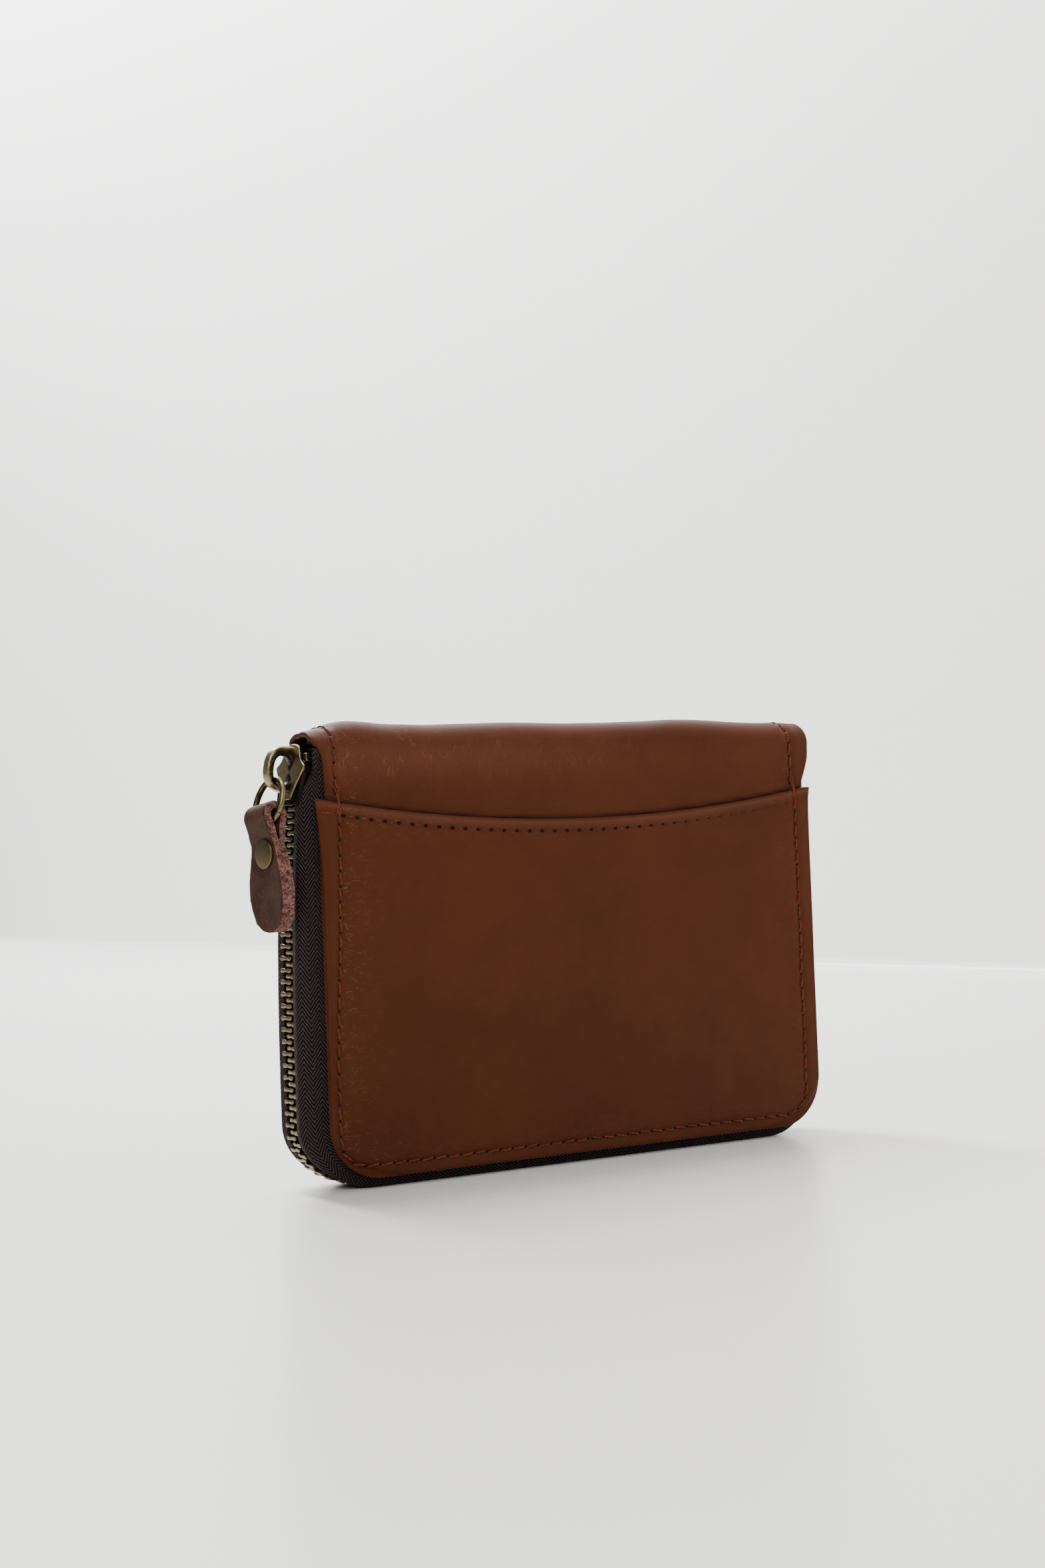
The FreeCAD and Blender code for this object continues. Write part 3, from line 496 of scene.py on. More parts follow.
def slip_pocket():
    """The outside pocket: a panel with a turned, sagging mouth."""
    shares = 84
    columns_between = 118
    rows = [("mouth", d) for d in EDGE_STEPS]
    rows += [("between", k / shares) for k in range(1, shares)]
    rows += [("base", d) for d in reversed(EDGE_STEPS)]
    columns = [(-1, d) for d in EDGE_STEPS]
    columns += [(0, 2 * k / columns_between - 1) for k in range(1, columns_between)]
    columns += [(1, d) for d in reversed(EDGE_STEPS)]
    outer, inner, uvs = [], [], []
    marks = {"seam_along": [], "seam_in": [], "crease": [], "rim": [],
             "hem_along": [], "hem_down": [], "lip": []}

    def height_at(kind, value, x):
        mouth = mouth_height(max(-POCKET_HALF, min(POCKET_HALF, x)))
        if kind == "mouth":
            return mouth - value
        if kind == "base":
            return COVER_LOW + value
        top, bottom = mouth - EDGE_STEPS[-1], COVER_LOW + EDGE_STEPS[-1]
        return top + (bottom - top) * value

    def across(kind, value, z):
        half = cover_half_width(z, POCKET_HALF)
        beyond_left, beyond_right = pocket_edges(MOUTH_END - z)
        left, right = -half - beyond_left, half + beyond_right
        if kind:
            return (left + value if kind < 0 else right - value), left, right
        middle = (left + right) / 2
        return middle + ((right - left) / 2 - EDGE_STEPS[-1]) * value, left, right

    for kind, value in rows:
        outer_row, inner_row = [], []
        for side, offset in columns:
            # the mouth's height depends on x and the width on the height, so both are found twice
            x = across(side, offset, 40.0)[0]
            z = height_at(kind, value, x)
            x, left, right = across(side, offset, z)
            z = height_at(kind, value, x)
            t = FLAT_TOP - z
            down = mouth_height(max(-POCKET_HALF, min(POCKET_HALF, x))) - z
            scaled = x * POCKET_HALF / (-left if x < 0 else right)
            edge = max(0.0, min(edge_distance(scaled, z, POCKET_HALF) if z < CORNER_TOP else 99.0,
                                x - left, right - x, down))
            along, inside = seam_place(x, t)
            rim = rim_profile(edge, POCKET_LEATHER, 0.5)
            hem_in = down - HEM_DOWN
            hem = -0.13 * bell(hem_in, 0, 0.45)
            hem += 0.05 * bell(hem_in, -1.1, 0.7)
            hem += 0.035 * wander(x * 2.0, down * 0.5, 2.1, 9) * math.exp(-abs(hem_in) / 2.5)
            if abs(x) > HALF_W - SEAM_LEFT:
                hem *= 0.5
            high = panel_relief(x, t, 11) * smoothstep(0, 10, down) + seam_relief(along, inside, 6)
            high += hem + 0.1 * math.exp(-down / 1.5) - rim
            deep = rim - POCKET_LEATHER
            outer_row.append((x, -(POCKET_FACE + high), z))
            inner_row.append((x, -(POCKET_FACE + deep), z))
            uvs.append((x + 31.0, -t + 17.0))
            marks["seam_along"].append(along)
            marks["seam_in"].append(inside)
            marks["hem_along"].append(x)
            marks["hem_down"].append(hem_in)
            # Painted highlight: a paler band on the pocket's turned mouth, just below its edge.
            marks["lip"].append(smoothstep(0.25, 0.6, down) * (1 - smoothstep(0.9, 1.9, down)))
            near_hem = 0.6 * math.exp(-abs(hem_in) / 1.6) * (1 - smoothstep(-50, 10, x))
            marks["crease"].append(min(1.0, crease_amount(x, inside) + near_hem))
            marks["rim"].append(1 - smoothstep(0.2, 1.4, edge))
        outer.append(outer_row)
        inner.append(inner_row)
    return shell("leather_slip_pocket", outer, inner, uvs, marks)


# ---------------------------------------------------------------- thread
STRAND_RADIUS = 0.12
TWIST_RADIUS = 0.08      # of a strand's middle round its stitch
STITCH_DEPTH = 0.32      # of a stitch's ends below the leather


def stitch_strands(start, end, normal, slant, rng):
    """One stitch of two twisted strands between its two holes."""
    start, end, normal = Vector(start), Vector(end), Vector(normal)
    along = (end - start).normalized()
    across = along.cross(normal).normalized()
    start, end = start - across * slant / 2, end + across * slant / 2
    rise = 0.12 + 0.08 * rng.random()
    parts = []
    steps = 8
    turn = rng.random() * math.pi
    sway = 0.3 * (rng.random() - 0.5)
    for strand in (0, 1):
        path = []
        for k in range(steps + 1):
            share = k / steps
            angle = turn + strand * math.pi + share * 2.6 * math.pi
            arch = math.sin(math.pi * share)
            lift = (rise + STITCH_DEPTH) * arch ** 0.5 - STITCH_DEPTH
            here = start.lerp(end, share) + normal * (lift + TWIST_RADIUS * math.sin(angle))
            path.append(here + across * (TWIST_RADIUS * math.cos(angle) + sway * arch))
        parts.append(tube(path, STRAND_RADIUS, 6))
    return join_parts(parts)


def perimeter_stitches(face_of, start, stop, seed, skip=None):
    """Stitches down both sides of the perimeter seam; stop gives each side's length."""
    rng = random.Random(seed)
    parts = []
    for side in (-1, 1):
        along = start
        while along + STITCH_PITCH <= stop(side) + 1e-6:
            ends = []
            for share in (0.07, 0.93):
                x, t, _, _ = seam_point(along + STITCH_PITCH * share, side)
                x += 0.2 * wander(t, side * 50, 7, seed)
                ends.append(face_of(x, t, 0.0))
            jitter = 0.28 + 0.25 * rng.random()
            if not (skip and skip(x, t)):
                parts.append(stitch_strands(ends[0][0], ends[1][0], ends[0][1], side * jitter, rng))
            along += STITCH_PITCH
    return parts


def seam_stop(side):
    """Distance along the seam at the middle of the base, in whole stitches."""
    half = HALF_W - (SEAM_LEFT - SEAM_DRIFT if side < 0 else SEAM_RIGHT)
    full = SEAM_STRAIGHT + SEAM_CORNER * math.pi / 2 + half - SEAM_CORNER
    return math.floor(full / STITCH_PITCH) * STITCH_PITCH


def on_skin(side):
    """A function that gives the place and normal on a cover's outer face, sunk by a depth."""
    def place(x, t, sink):
        (y, z), (ny, nz) = skin_point(t)
        lift = skin_lift(x, t, nz, side) - sink
        return (x, side * (y + ny * lift), z + nz * lift), (0.0, side * ny, nz)
    return place


def on_pocket(x, t, sink):
    """Place and normal on the slip pocket's outer face, sunk by a depth."""
    z = FLAT_TOP - t
    down = mouth_height(x) - z
    lift = panel_relief(x, t, 11) * smoothstep(0, 10, down) - sink
    return (x, -(POCKET_FACE + lift), z), (0.0, -1.0, 0.0)


def thread_piece(name, parts):
    points, faces = join_parts(parts)
    return make_mesh(name, points, faces, angle=50)


def seams():
    """The perimeter seams, the pocket's hem and the spine's two short seams."""
    bend_end = 4 * STITCH_PITCH
    mouth_t = FLAT_TOP - MOUTH_END

    def under_pocket(x, t):
        return FLAT_TOP - t < mouth_height(x) + 0.6

    def above_mouth(x, t):
        return FLAT_TOP - t > mouth_height(x) - 0.4

    back = perimeter_stitches(on_skin(BACK), bend_end, seam_stop, 21)
    front = perimeter_stitches(on_skin(FRONT), bend_end, seam_stop, 22, under_pocket)
    front += perimeter_stitches(on_pocket, bend_end, seam_stop, 23, above_mouth)
    rng = random.Random(8)
    for side in (-1, 1):
        for shift in (-0.25, 0.3):
            x, t, _, _ = seam_point(mouth_t + 1.2, side)
            high = on_skin(FRONT)(x + shift, mouth_t - 2.4, -0.3)
            low = on_pocket(x - shift, t + 2.2, -0.1)
            front.append(stitch_strands(high[0], low[0], (0, -1, 0), shift, rng))
    hem = []
    span = HALF_W - SEAM_LEFT - 1.0
    count = int(2 * span / STITCH_PITCH)
    for i in range(count):
        ends = []
        for share in (0.16, 0.84):
            x = -span + (i + share) * 2 * span / count
            t = FLAT_TOP - mouth_height(x) + HEM_DOWN
            ends.append(on_pocket(x, t, 0.22 + 0.2 * smoothstep(-span, -span + 22, x)))
        hem.append(stitch_strands(ends[0][0], ends[1][0], (0, -1, 0), 0.12, rng))
    tuck = -POCKET_HALF - 0.1
    t = FLAT_TOP - mouth_height(tuck + 1) + HEM_DOWN + 0.1
    ends = [on_pocket(x, t, 0.1) for x in (tuck + 0.3, 2.9 - HALF_W)]
    hem.append(stitch_strands(ends[0][0], ends[1][0], (0, -1, 0), 0.1, rng))
    spine_front = perimeter_stitches(on_skin(FRONT), 0.0, lambda side: bend_end, 24)
    spine_back = perimeter_stitches(on_skin(BACK), 0.0, lambda side: bend_end, 25)
    return {
        "stitching_back": back, "stitching_front": front, "stitching_pocket_hem": hem,
        "stitching_spine_front": spine_front, "stitching_spine_back": spine_back,
    }


# ---------------------------------------------------------------- the zip round the edge
CHAIN_OUT_LOW = 3.8      # chain's middle beyond the cover's edge, at its widest
CHAIN_OUT_BASE = 0.85    # the same along the base
CHAIN_OUT_FAR = 1.6      # the same up the right side, where the zip ends
CHAIN_WIDEST = 20.0      # height where the chain starts to bow in
CHAIN_BOW = 748.0        # radius of that bow
CHAIN_TUCK = 74.0        # height where the chain turns in towards the spine
CHAIN_HALF = 2.9         # half of its width
TOOTH_PITCH = 2.31       # one row
TOOTH_THICK = 1.9
TAPE_FLAP = 8.0          # tape hidden under the cover's edge
TAPE_THICK = 0.6
SLIDER_HEIGHT = 80.5
SLIDER_TILT = 11.0       # degrees from vertical, leaning in at its nose
SLIDER_YAW = 6.0         # degrees, front edge turned in
SLIDER_FACE = 2.2        # outer face from the middle of the chain
SLIDER_PLATE = 0.8
CORNER_X = HALF_W - COVER_CORNER


def chain_out(z):
    """How far the chain's middle stands out from a side edge at a height."""
    if z <= CHAIN_WIDEST:
        return CHAIN_OUT_LOW
    bowed = CHAIN_OUT_LOW - (min(z, CHAIN_TUCK) - CHAIN_WIDEST) ** 2 / (2 * CHAIN_BOW)
    return bowed - math.tan(math.radians(SLIDER_TILT)) * max(0.0, z - CHAIN_TUCK)


def parting(z):
    """How far each row has moved apart at a height, at the slider's end."""
    return 0.2 * min(5.0, max(0.0, z - (SLIDER_HEIGHT - 4.0)))


def edge_stations():
    """(x, z, outward x, outward z, share of base shape, chain's middle outwards, parted)."""
    heights = [TAPE_TOP]
    while heights[-1] - 1.2 > CORNER_TOP:
        heights.append(heights[-1] - 1.2)
    steps = 20
    corners = {}
    for side, widest in ((-1, CHAIN_OUT_LOW), (1, CHAIN_OUT_FAR)):
        corners[side] = []
        for i in range(steps + 1):
            angle = math.radians(90.0 * i / steps)
            share = (1 - math.cos(math.pi * i / steps)) / 2
            nx, nz = side * math.cos(angle), -math.sin(angle)
            corners[side].append((side * CORNER_X + COVER_CORNER * nx, CORNER_TOP + COVER_CORNER * nz,
                                  nx, nz, share, widest + (CHAIN_OUT_BASE - widest) * share, 0.0))
    base = 80
    left = [(-HALF_W, z, -1.0, 0.0, 0.0, chain_out(z), parting(z)) for z in heights]
    middle = [(CORNER_X * (2 * i / base - 1), COVER_LOW, 0.0, -1.0, 1.0, CHAIN_OUT_BASE, 0.0)
              for i in range(1, base)]
    right = [(HALF_W, z, 1.0, 0.0, 0.0, CHAIN_OUT_FAR, 0.0) for z in reversed(heights)]
    return left + corners[-1] + middle + corners[1][::-1] + right


def smooth_line(points, per_span):
    """Points on a Catmull-Rom curve through the given ones."""
    line = []
    points = [Vector(p) for p in points]
    ends = [points[0] * 2 - points[1]] + points + [points[-1] * 2 - points[-2]]
    for a, b, c, d in zip(ends, ends[1:], ends[2:], ends[3:]):
        for k in range(per_span):
            s = k / per_span
            line.append(0.5 * (2 * b + (c - a) * s + (2 * a - 5 * b + 4 * c - d) * s * s
                               + (3 * b - a - 3 * c + d) * s ** 3))
    line.append(points[-1])
    return line


def tape_line(share, out, parted, tucked):
    """The tape's outer face at a station, as (outwards from the cover's edge, Y)."""
    out -= 2.6 * tucked
    edge_u = (out + 0.85) * (1 - share) + COVER_LOW * share
    shoulder_u = (0.55 * out + 0.2) * (1 - share) + (COVER_LOW - 0.25) * share
    edge_y = CHAIN_HALF - 0.8 + parted
    bulge_u = (out + 0.9) * (1 - share) + COVER_LOW * share
    return [(-TAPE_FLAP, TAPE_OUT - 0.03), (-3.0, TAPE_OUT - 0.03), (0.1, TAPE_OUT - 0.06),
            (shoulder_u, 5.32 - 0.1 * share), (bulge_u, 4.35 + 0.1 * share + 0.5 * parted),
            (edge_u, edge_y + 0.6), (edge_u - 0.1, edge_y)]


def zip_tape(side):
    """Woven tape from under the cover's edge to the cord that the teeth grip."""
    outer, inner, uvs = [], [], []
    run = 0.0
    before = None
    for x, z, nx, nz, share, out, parted in edge_stations():
        tucked = smoothstep(76, 84, z) if x < 0 else 0.0
        line = smooth_line(tape_line(share, out, parted, tucked), 4)
        outer_row, inner_row = [], []
        width = 0.0
        here = Vector((x + nx * 2, z + nz * 2))
        run += (here - before).length if before is not None else 0.0
        before = here
        for k, point in enumerate(line):
            ahead = line[min(k + 1, len(line) - 1)] - line[max(k - 1, 0)]
            normal = Vector((-ahead.y, ahead.x)).normalized()
            if k:
                width += (point - line[k - 1]).length
            thick = TAPE_THICK + 0.25 * smoothstep(len(line) - 5, len(line) - 1, k)
            swell = 0.04 * wander(run, width, 6, 15 + side) * smoothstep(9, 11, width)
            u, y = point + normal * swell
            low_u, low_y = point - normal * thick
            u = min(u, COVER_LOW) if share > 0.98 else u
            outer_row.append((x + nx * u, side * y, z + nz * u))
            inner_row.append((x + nx * low_u, side * low_y, z + nz * low_u))
            uvs.append((run, width))
        outer.append(outer_row)
        inner.append(inner_row)
    return shell("zip_tape_" + WORD[side], outer, inner, uvs)


def half_path(widest, top):
    """Closely spaced points (x, z) down one side and round its corner, as on the left."""
    points = []
    step = 0.25
    z = top
    while z > CORNER_TOP:
        points.append((-HALF_W - (chain_out(z) if widest == CHAIN_OUT_LOW else widest), z))
        z -= step
    steps = 90
    for i in range(steps + 1):
        angle = math.radians(90.0 * i / steps)
        share = (1 - math.cos(math.pi * i / steps)) / 2
        radius = COVER_CORNER + widest + (CHAIN_OUT_BASE - widest) * share
        points.append((-CORNER_X - radius * math.cos(angle), CORNER_TOP - radius * math.sin(angle)))
    x = step - CORNER_X
    while x < 0:
        points.append((x, points[-1][1]))
        x += step
    return points


def chain_path():
    """Closely spaced points (x, z) along the chain's middle, from the slider's end."""
    top = SLIDER_HEIGHT + 3.0
    far = half_path(CHAIN_OUT_FAR, top)
    return half_path(CHAIN_OUT_LOW, top) + [(-x, z) for x, z in reversed(far)]


def along_path(points, pitch, start):
    """Points at a regular pitch along a polyline, each with its unit tangent."""
    placed = []
    goal = start
    run = 0.0
    for (x0, z0), (x1, z1) in zip(points, points[1:]):
        length = math.hypot(x1 - x0, z1 - z0)
        if length < 1e-9:
            continue
        while goal <= run + length:
            share = (goal - run) / length
            placed.append((x0 + (x1 - x0) * share, z0 + (z1 - z0) * share,
                           (x1 - x0) / length, (z1 - z0) / length))
            goal += pitch
        run += length
    return placed


TOOTH_HALF = ((0.42, 2.6), (0.46, 2.3), (0.46, 1.5), (0.32, 1.15), (0.3, 0.8), (0.43, 0.3),
              (0.5, -0.2), (0.4, -0.66), (0.18, -0.86))


def zip_teeth(side):
    """One row of teeth: a root that grips the tape's cord, a waist and a round head."""
    outline = list(TOOTH_HALF) + [(-s, y) for s, y in reversed(TOOTH_HALF)]
    half = TOOTH_THICK / 2
    start = 0.4 if side == FRONT else 0.4 + TOOTH_PITCH / 2
    rng = random.Random(40 + side)
    parts, worn = [], []
    for x, z, tx, tz in along_path(chain_path(), TOOTH_PITCH, start):
        if x < 0 and z > SLIDER_HEIGHT + 1.0:
            continue
        spread = parting(z) if x < 0 else 0.0
        height = max(0.0, min(1.0, (z - CORNER_TOP) / (2 * COVER_CORNER))) if x < 0 else 0.0
        twist = side * math.tan(math.radians(SLIDER_YAW)) * height
        nx, nz = tz, -tx
        lean = 0.03 * (rng.random() - 0.5)

        def place(s, y, n):
            thin = 1.0 - 0.16 * smoothstep(0.9, 0.0, y)
            n = n * thin + twist * (y + spread)
            s = s + lean * y
            return (x + tx * s + nx * n, side * (y + spread), z + tz * s + nz * n)

        points, faces = rounded_prism(outline, -half, half, 0.2, 3, 0.0, place)
        parts.append((points, faces))
        rings = len(points) // len(outline)
        level = rng.random() * 0.25
        worn += [min(1.0, max(0.0, 0.15 + level + 0.85 * smoothstep(0.35, 0.85, ring / (rings - 1))))
                 for ring in range(rings) for _ in outline]
    points, faces = join_parts(parts)
    return metal_piece("zip_teeth_" + WORD[side], points, faces, worn, 45)


def end_clamp(node):
    """Folded metal stop clamped over the end of the tape's cord, in its CAD node's box."""
    low, high = low_mm(node), high_mm(node)
    half_x, half_z = (high.x - low.x) / 2, (high.z - low.z) / 2
    outline = [(-half_x, -half_z), (half_x, -half_z), (half_x, half_z), (-half_x, half_z)]
    mid = (low + high) / 2

    def place(a, b, h):
        return (mid.x + a, h, mid.z + b)

    points, faces = rounded_prism(round_corners(outline, 0.4), low.y, high.y, 0.3, 3, 0.0, place)
    return metal_piece(node, points, faces, 0.7, 45)


def round_corners(outline, radius, steps=4):
    """A closed outline with its corners rounded."""
    result = []
    count = len(outline)
    for i in range(count):
        before, here, after = (Vector(outline[(i + k) % count]) for k in (-1, 0, 1))
        room = min(radius, (here - before).length * 0.45, (after - here).length * 0.45)
        start = here + (before - here).normalized() * room
        stop = here + (after - here).normalized() * room
        for k in range(steps + 1):
            share = k / steps
            result.append(tuple(start.lerp(here, share).lerp(here.lerp(stop, share), share)))
    return result


# ---------------------------------------------------------------- slider, ring and tab
SLIDER_NOSE = ((0.0, 6.15), (1.4, 5.95), (2.45, 5.25), (3.0, 4.2), (3.45, 3.1), (4.3, 2.25), (5.05, 1.75))
SLIDER_HALF = SLIDER_NOSE + ((5.1, 1.25), (4.85, 0.4), (4.35, -2.2), (4.0, -5.4), (3.6, -6.0))
SLIDER_CROWN = SLIDER_NOSE + ((5.1, 1.2), (4.5, 0.1), (3.2, -1.8), (2.2, -3.6), (1.5, -5.0))
SLIDER = (Matrix.Translation((-HALF_W - chain_out(SLIDER_HEIGHT), 0, SLIDER_HEIGHT))
          @ Matrix.Rotation(math.radians(SLIDER_YAW), 4, "Z")
          @ Matrix.Rotation(math.radians(SLIDER_TILT), 4, "Y"))
RING_SEAT = Vector((-5.2, 0.0, -1.4))
RING_RADIUS = 4.8
RING_WIRE = 0.62
RING_TILT = 17.0
YAW = Matrix.Rotation(math.radians(SLIDER_YAW), 4, "Z")
RING_TOP = SLIDER @ RING_SEAT
RING_DOWN = YAW @ Vector((-math.sin(math.radians(RING_TILT)), 0, -math.cos(math.radians(RING_TILT))))
RING_ACROSS = YAW @ Vector((0, 1, 0))
RING_CENTRE = RING_TOP + RING_DOWN * RING_RADIUS
RING_NORMAL = RING_DOWN.cross(RING_ACROSS)
TAB_LEAN = 8.0
TAB_PLY = 1.55
TAB_CAVITY = 1.15
TAB_IN = 0.22            # tab's middle inwards from the ring's lowest point
TAB_TOP = 4.5
TAB_LENGTH = 25.0
TAB_HALVES = ((3.75, 4.5), (3.7, 1.5), (3.8, -3.85), (4.75, -7.2), (5.5, -10.2), (5.8, -13.2),
              (5.45, -15.6), (4.5, -18.3), (2.7, -19.95), (0.9, -20.5))
RIVET_Z = TAB_TOP - 9.95
RIVET_SIDE = -0.8
RIVET_CAP = 2.9
TAB = (Matrix.Translation(RING_CENTRE)
       @ Matrix.Rotation(math.radians(-TAB_LEAN), 4, RING_NORMAL)
       @ Matrix.Translation(RING_DOWN * RING_RADIUS)
       @ YAW @ Matrix.Translation((TAB_IN, 0, 0)))


def in_slider(out, y, up):
    return tuple(SLIDER @ Vector((-out, y, up)))


def in_tab(x, y, z):
    return tuple(TAB @ Vector((x, y, z)))


def slider_outline(half, shrink):
    """A plate seen on its face: round nose, pointed shoulders and a narrower tail."""
    right = [(p.x, p.y) for p in smooth_line([(y * shrink, z) for y, z in half], 3)]
    left = [(-y, z) for y, z in reversed(right)][:-1]
    return right + left


def slider_body():
    """Two bevelled plates, the lips that keep the teeth in, and the post at the nose."""
    plate_in = SLIDER_FACE - SLIDER_PLATE

    def outward(y, z, h):
        return in_slider(h, y, z)

    parts, worn = [], []
    flange = SLIDER_FACE - 0.4
    plates = (
        (SLIDER_HALF, 0.97, plate_in, flange, 0.12, 0.0),
        (SLIDER_CROWN, 1.0, flange - 0.1, SLIDER_FACE, 0.3, 1.0),
        (SLIDER_HALF, 0.94, -SLIDER_FACE, -plate_in, 0.2, 0.3),
    )
    for half, shrink, low, high, bevel, bright in plates:
        points, faces = rounded_prism(slider_outline(half, shrink), low, high, bevel, 4, 0.0, outward)
        parts.append((points, faces))
        worn += [bright * (0.3 + 0.7 * i / len(points)) for i in range(len(points))]
    for low, high in ((1.12, plate_in + 0.05), (-plate_in - 0.05, -1.12)):
        for side in (-1, 1):
            lip = [(side * 4.35, 1.0), (side * 4.75, 0.6), (side * 4.25, -2.2), (side * 3.9, -5.7),
                   (side * 3.35, -5.7), (side * 3.7, -2.2), (side * 4.15, 0.8)]
            points, faces = rounded_prism(round_corners(lip, 0.2, 2), low, high, 0.05, 1, 0.0, outward)
            parts.append((points, faces))
            worn += [0.1] * len(points)
    post = circle(1.25, 24, (0.0, 4.2))
    points, faces = rounded_prism(post, -plate_in - 0.1, plate_in + 0.1, 0.05, 1, 0.0, outward)
    parts.append((points, faces))
    worn += [0.1] * len(points)
    points, faces = join_parts(parts)
    return metal_piece("slider_body", points, faces, worn, 40)


def bridge_loop(angle):
    """Hole's edge and outer edge of the bridge at an angle, as (outwards, up)."""
    c, s = math.cos(angle), math.sin(angle)

    def power(v, e):
        return math.copysign(abs(v) ** e, v)

    hole = (4.1 + 1.9 * power(c, 0.85), 0.5 + 2.8 * power(s, 0.85))
    lift = 4.7 if s > 0 else 4.65
    outer = (2.9 + 4.8 * power(c, 0.8), 0.8 + lift * power(s, 0.82))
    return (max(1.7, hole[0]), hole[1]), (max(1.5, outer[0]), outer[1])


def slider_bridge():
    """Arched loop on the outer plate, rounded like a thick band."""
    loop, around = 72, 16
    points, worn = [], []
    for i in range(loop):
        hole, outer = bridge_loop(2 * math.pi * i / loop)
        for k in range(around):
            turn = 2 * math.pi * k / around
            across = math.copysign(abs(math.sin(turn)) ** 0.75, math.sin(turn))
            reach = math.copysign(abs(math.cos(turn)) ** 0.75, math.cos(turn))
            share = (1 + reach) / 2
            out = hole[0] + (outer[0] - hole[0]) * share
            up = hole[1] + (outer[1] - hole[1]) * share
            points.append(in_slider(out, 1.2 * across, up))
            worn.append(0.2 + 0.8 * share ** 2)
    faces = grid_faces(loop, around, wrap_rows=True, wrap_columns=True)
    return metal_piece("slider_bridge", points, faces, worn, 70)


def pull_ring():
    """Jump ring of round wire with its cut ends closed together."""
    steps, around = 120, 14
    gap = 0.012
    points, worn = [], []
    for i in range(steps):
        angle = -math.pi * 0.37 + gap + (2 * math.pi - 2 * gap) * i / (steps - 1)
        out = RING_DOWN * math.cos(angle) + RING_ACROSS * math.sin(angle)
        wire = RING_WIRE * (0.9 if i in (0, steps - 1) else 1.0)
        for k in range(around):
            turn = 2 * math.pi * k / around
            points.append(RING_CENTRE + out * (RING_RADIUS + wire * math.cos(turn))
                          + RING_NORMAL * (wire * math.sin(turn)))
            worn.append(0.7 + 0.2 * math.cos(turn))
    faces = grid_faces(steps, around, wrap_columns=True)
    faces += [tuple(range(around)), tuple(range((steps - 1) * around, steps * around))]
    return metal_piece("pull_ring", points, faces, worn, 50)


def tab_half(z):
    """Half width of the tab at a height."""
    if z >= TAB_HALVES[0][1]:
        return TAB_HALVES[0][0]
    for (half_a, z_a), (half_b, z_b) in zip(TAB_HALVES, TAB_HALVES[1:]):
        if z >= z_b:
            share = (z_a - z) / (z_a - z_b)
            return half_a + (half_b - half_a) * share
    return TAB_HALVES[-1][0]


def pull_tab():
    """A strip of leather folded over the ring, with raw edges and a dent round the rivet."""
    mid = (TAB_PLY + 0.02) / 2
    fold = TAB_CAVITY + TAB_PLY / 2
    low = TAB_TOP - TAB_LENGTH
    leg = [(-mid, z) for z in (low, low + 0.7, low + 2.2, low + 4.5, -12.0, -8.6, -5.4)]
    leg += [(-mid - 0.05, -3.4), (-mid - 0.3, -2.2), (-1.25, -1.0), (-1.56, 0.3), (-fold, 1.6)]
    centre = TAB_TOP - TAB_CAVITY - TAB_PLY
    arch = [(-fold * math.cos(a), centre + fold * math.sin(a))
            for a in (math.radians(30 * k) for k in range(1, 6))]
    route = leg + arch + [(-x, z) for x, z in reversed(leg)]
    line = smooth_line(route, 5)
    across, edge = 22, 5
    points, raws, uvs = [], [], []
    run = 0.0
    for i, here in enumerate(line):
        ahead = (line[min(i + 1, len(line) - 1)] - line[max(i - 1, 0)]).normalized()
        normal = Vector((-ahead.y, ahead.x))
        run += (here - line[i - 1]).length if i else 0.0
        half = tab_half(here.y)
        loop = [(half * (1 - 2 * k / across), 1.0, 0.0) for k in range(across + 1)]
        loop += [(-half, 1 - 2 * k / edge, 1.0) for k in range(1, edge)]
        loop += [(-y, -level, raw) for y, level, raw in loop]
        for y, level, raw in loop:
            from_rivet = math.hypot(y - RIVET_SIDE, here.y - RIVET_Z)
            dent = 0.2 * math.exp(-(from_rivet / 3.1) ** 4) + 0.14 * bell(from_rivet, 3.2, 0.8)
            thick = TAB_PLY / 2 * (1 + (0.05 * wander(run, y, 5, 61) if level > 0 else 0.0))
            near = half - abs(y)
            soft = 0.16 * max(0.0, 1 - near / 0.35) if level > 0.99 else 0.0
            rough = 0.0
            if raw or near < 0.01:
                rough = 0.17 * wander(run, level * 0.9, 0.5, 62) + 0.11 * wander(run, level * 0.7, 0.2, 63)
            reach = y + math.copysign(rough, y)
            bow = 0.25 * (1 - smoothstep(-13, -3, here.y)) * ((y / 5.5) ** 2)
            place = here + normal * (level * (thick - soft))
            inward = -math.copysign(dent, place.x) if level > 0 and abs(place.x) > 0.5 else 0.0
            points.append(in_tab(place.x + inward - bow, reach, place.y))
            uvs.append((run, y + level * 2))
            raws.append(raw)
    around = 2 * (across + edge)
    faces = grid_faces(len(line), around, wrap_columns=True)
    faces += [tuple(range(around)), tuple(range((len(line) - 1) * around, len(line) * around))]
    return make_mesh("pull_tab", points, faces, uvs, {"raw": raws}, angle=60)


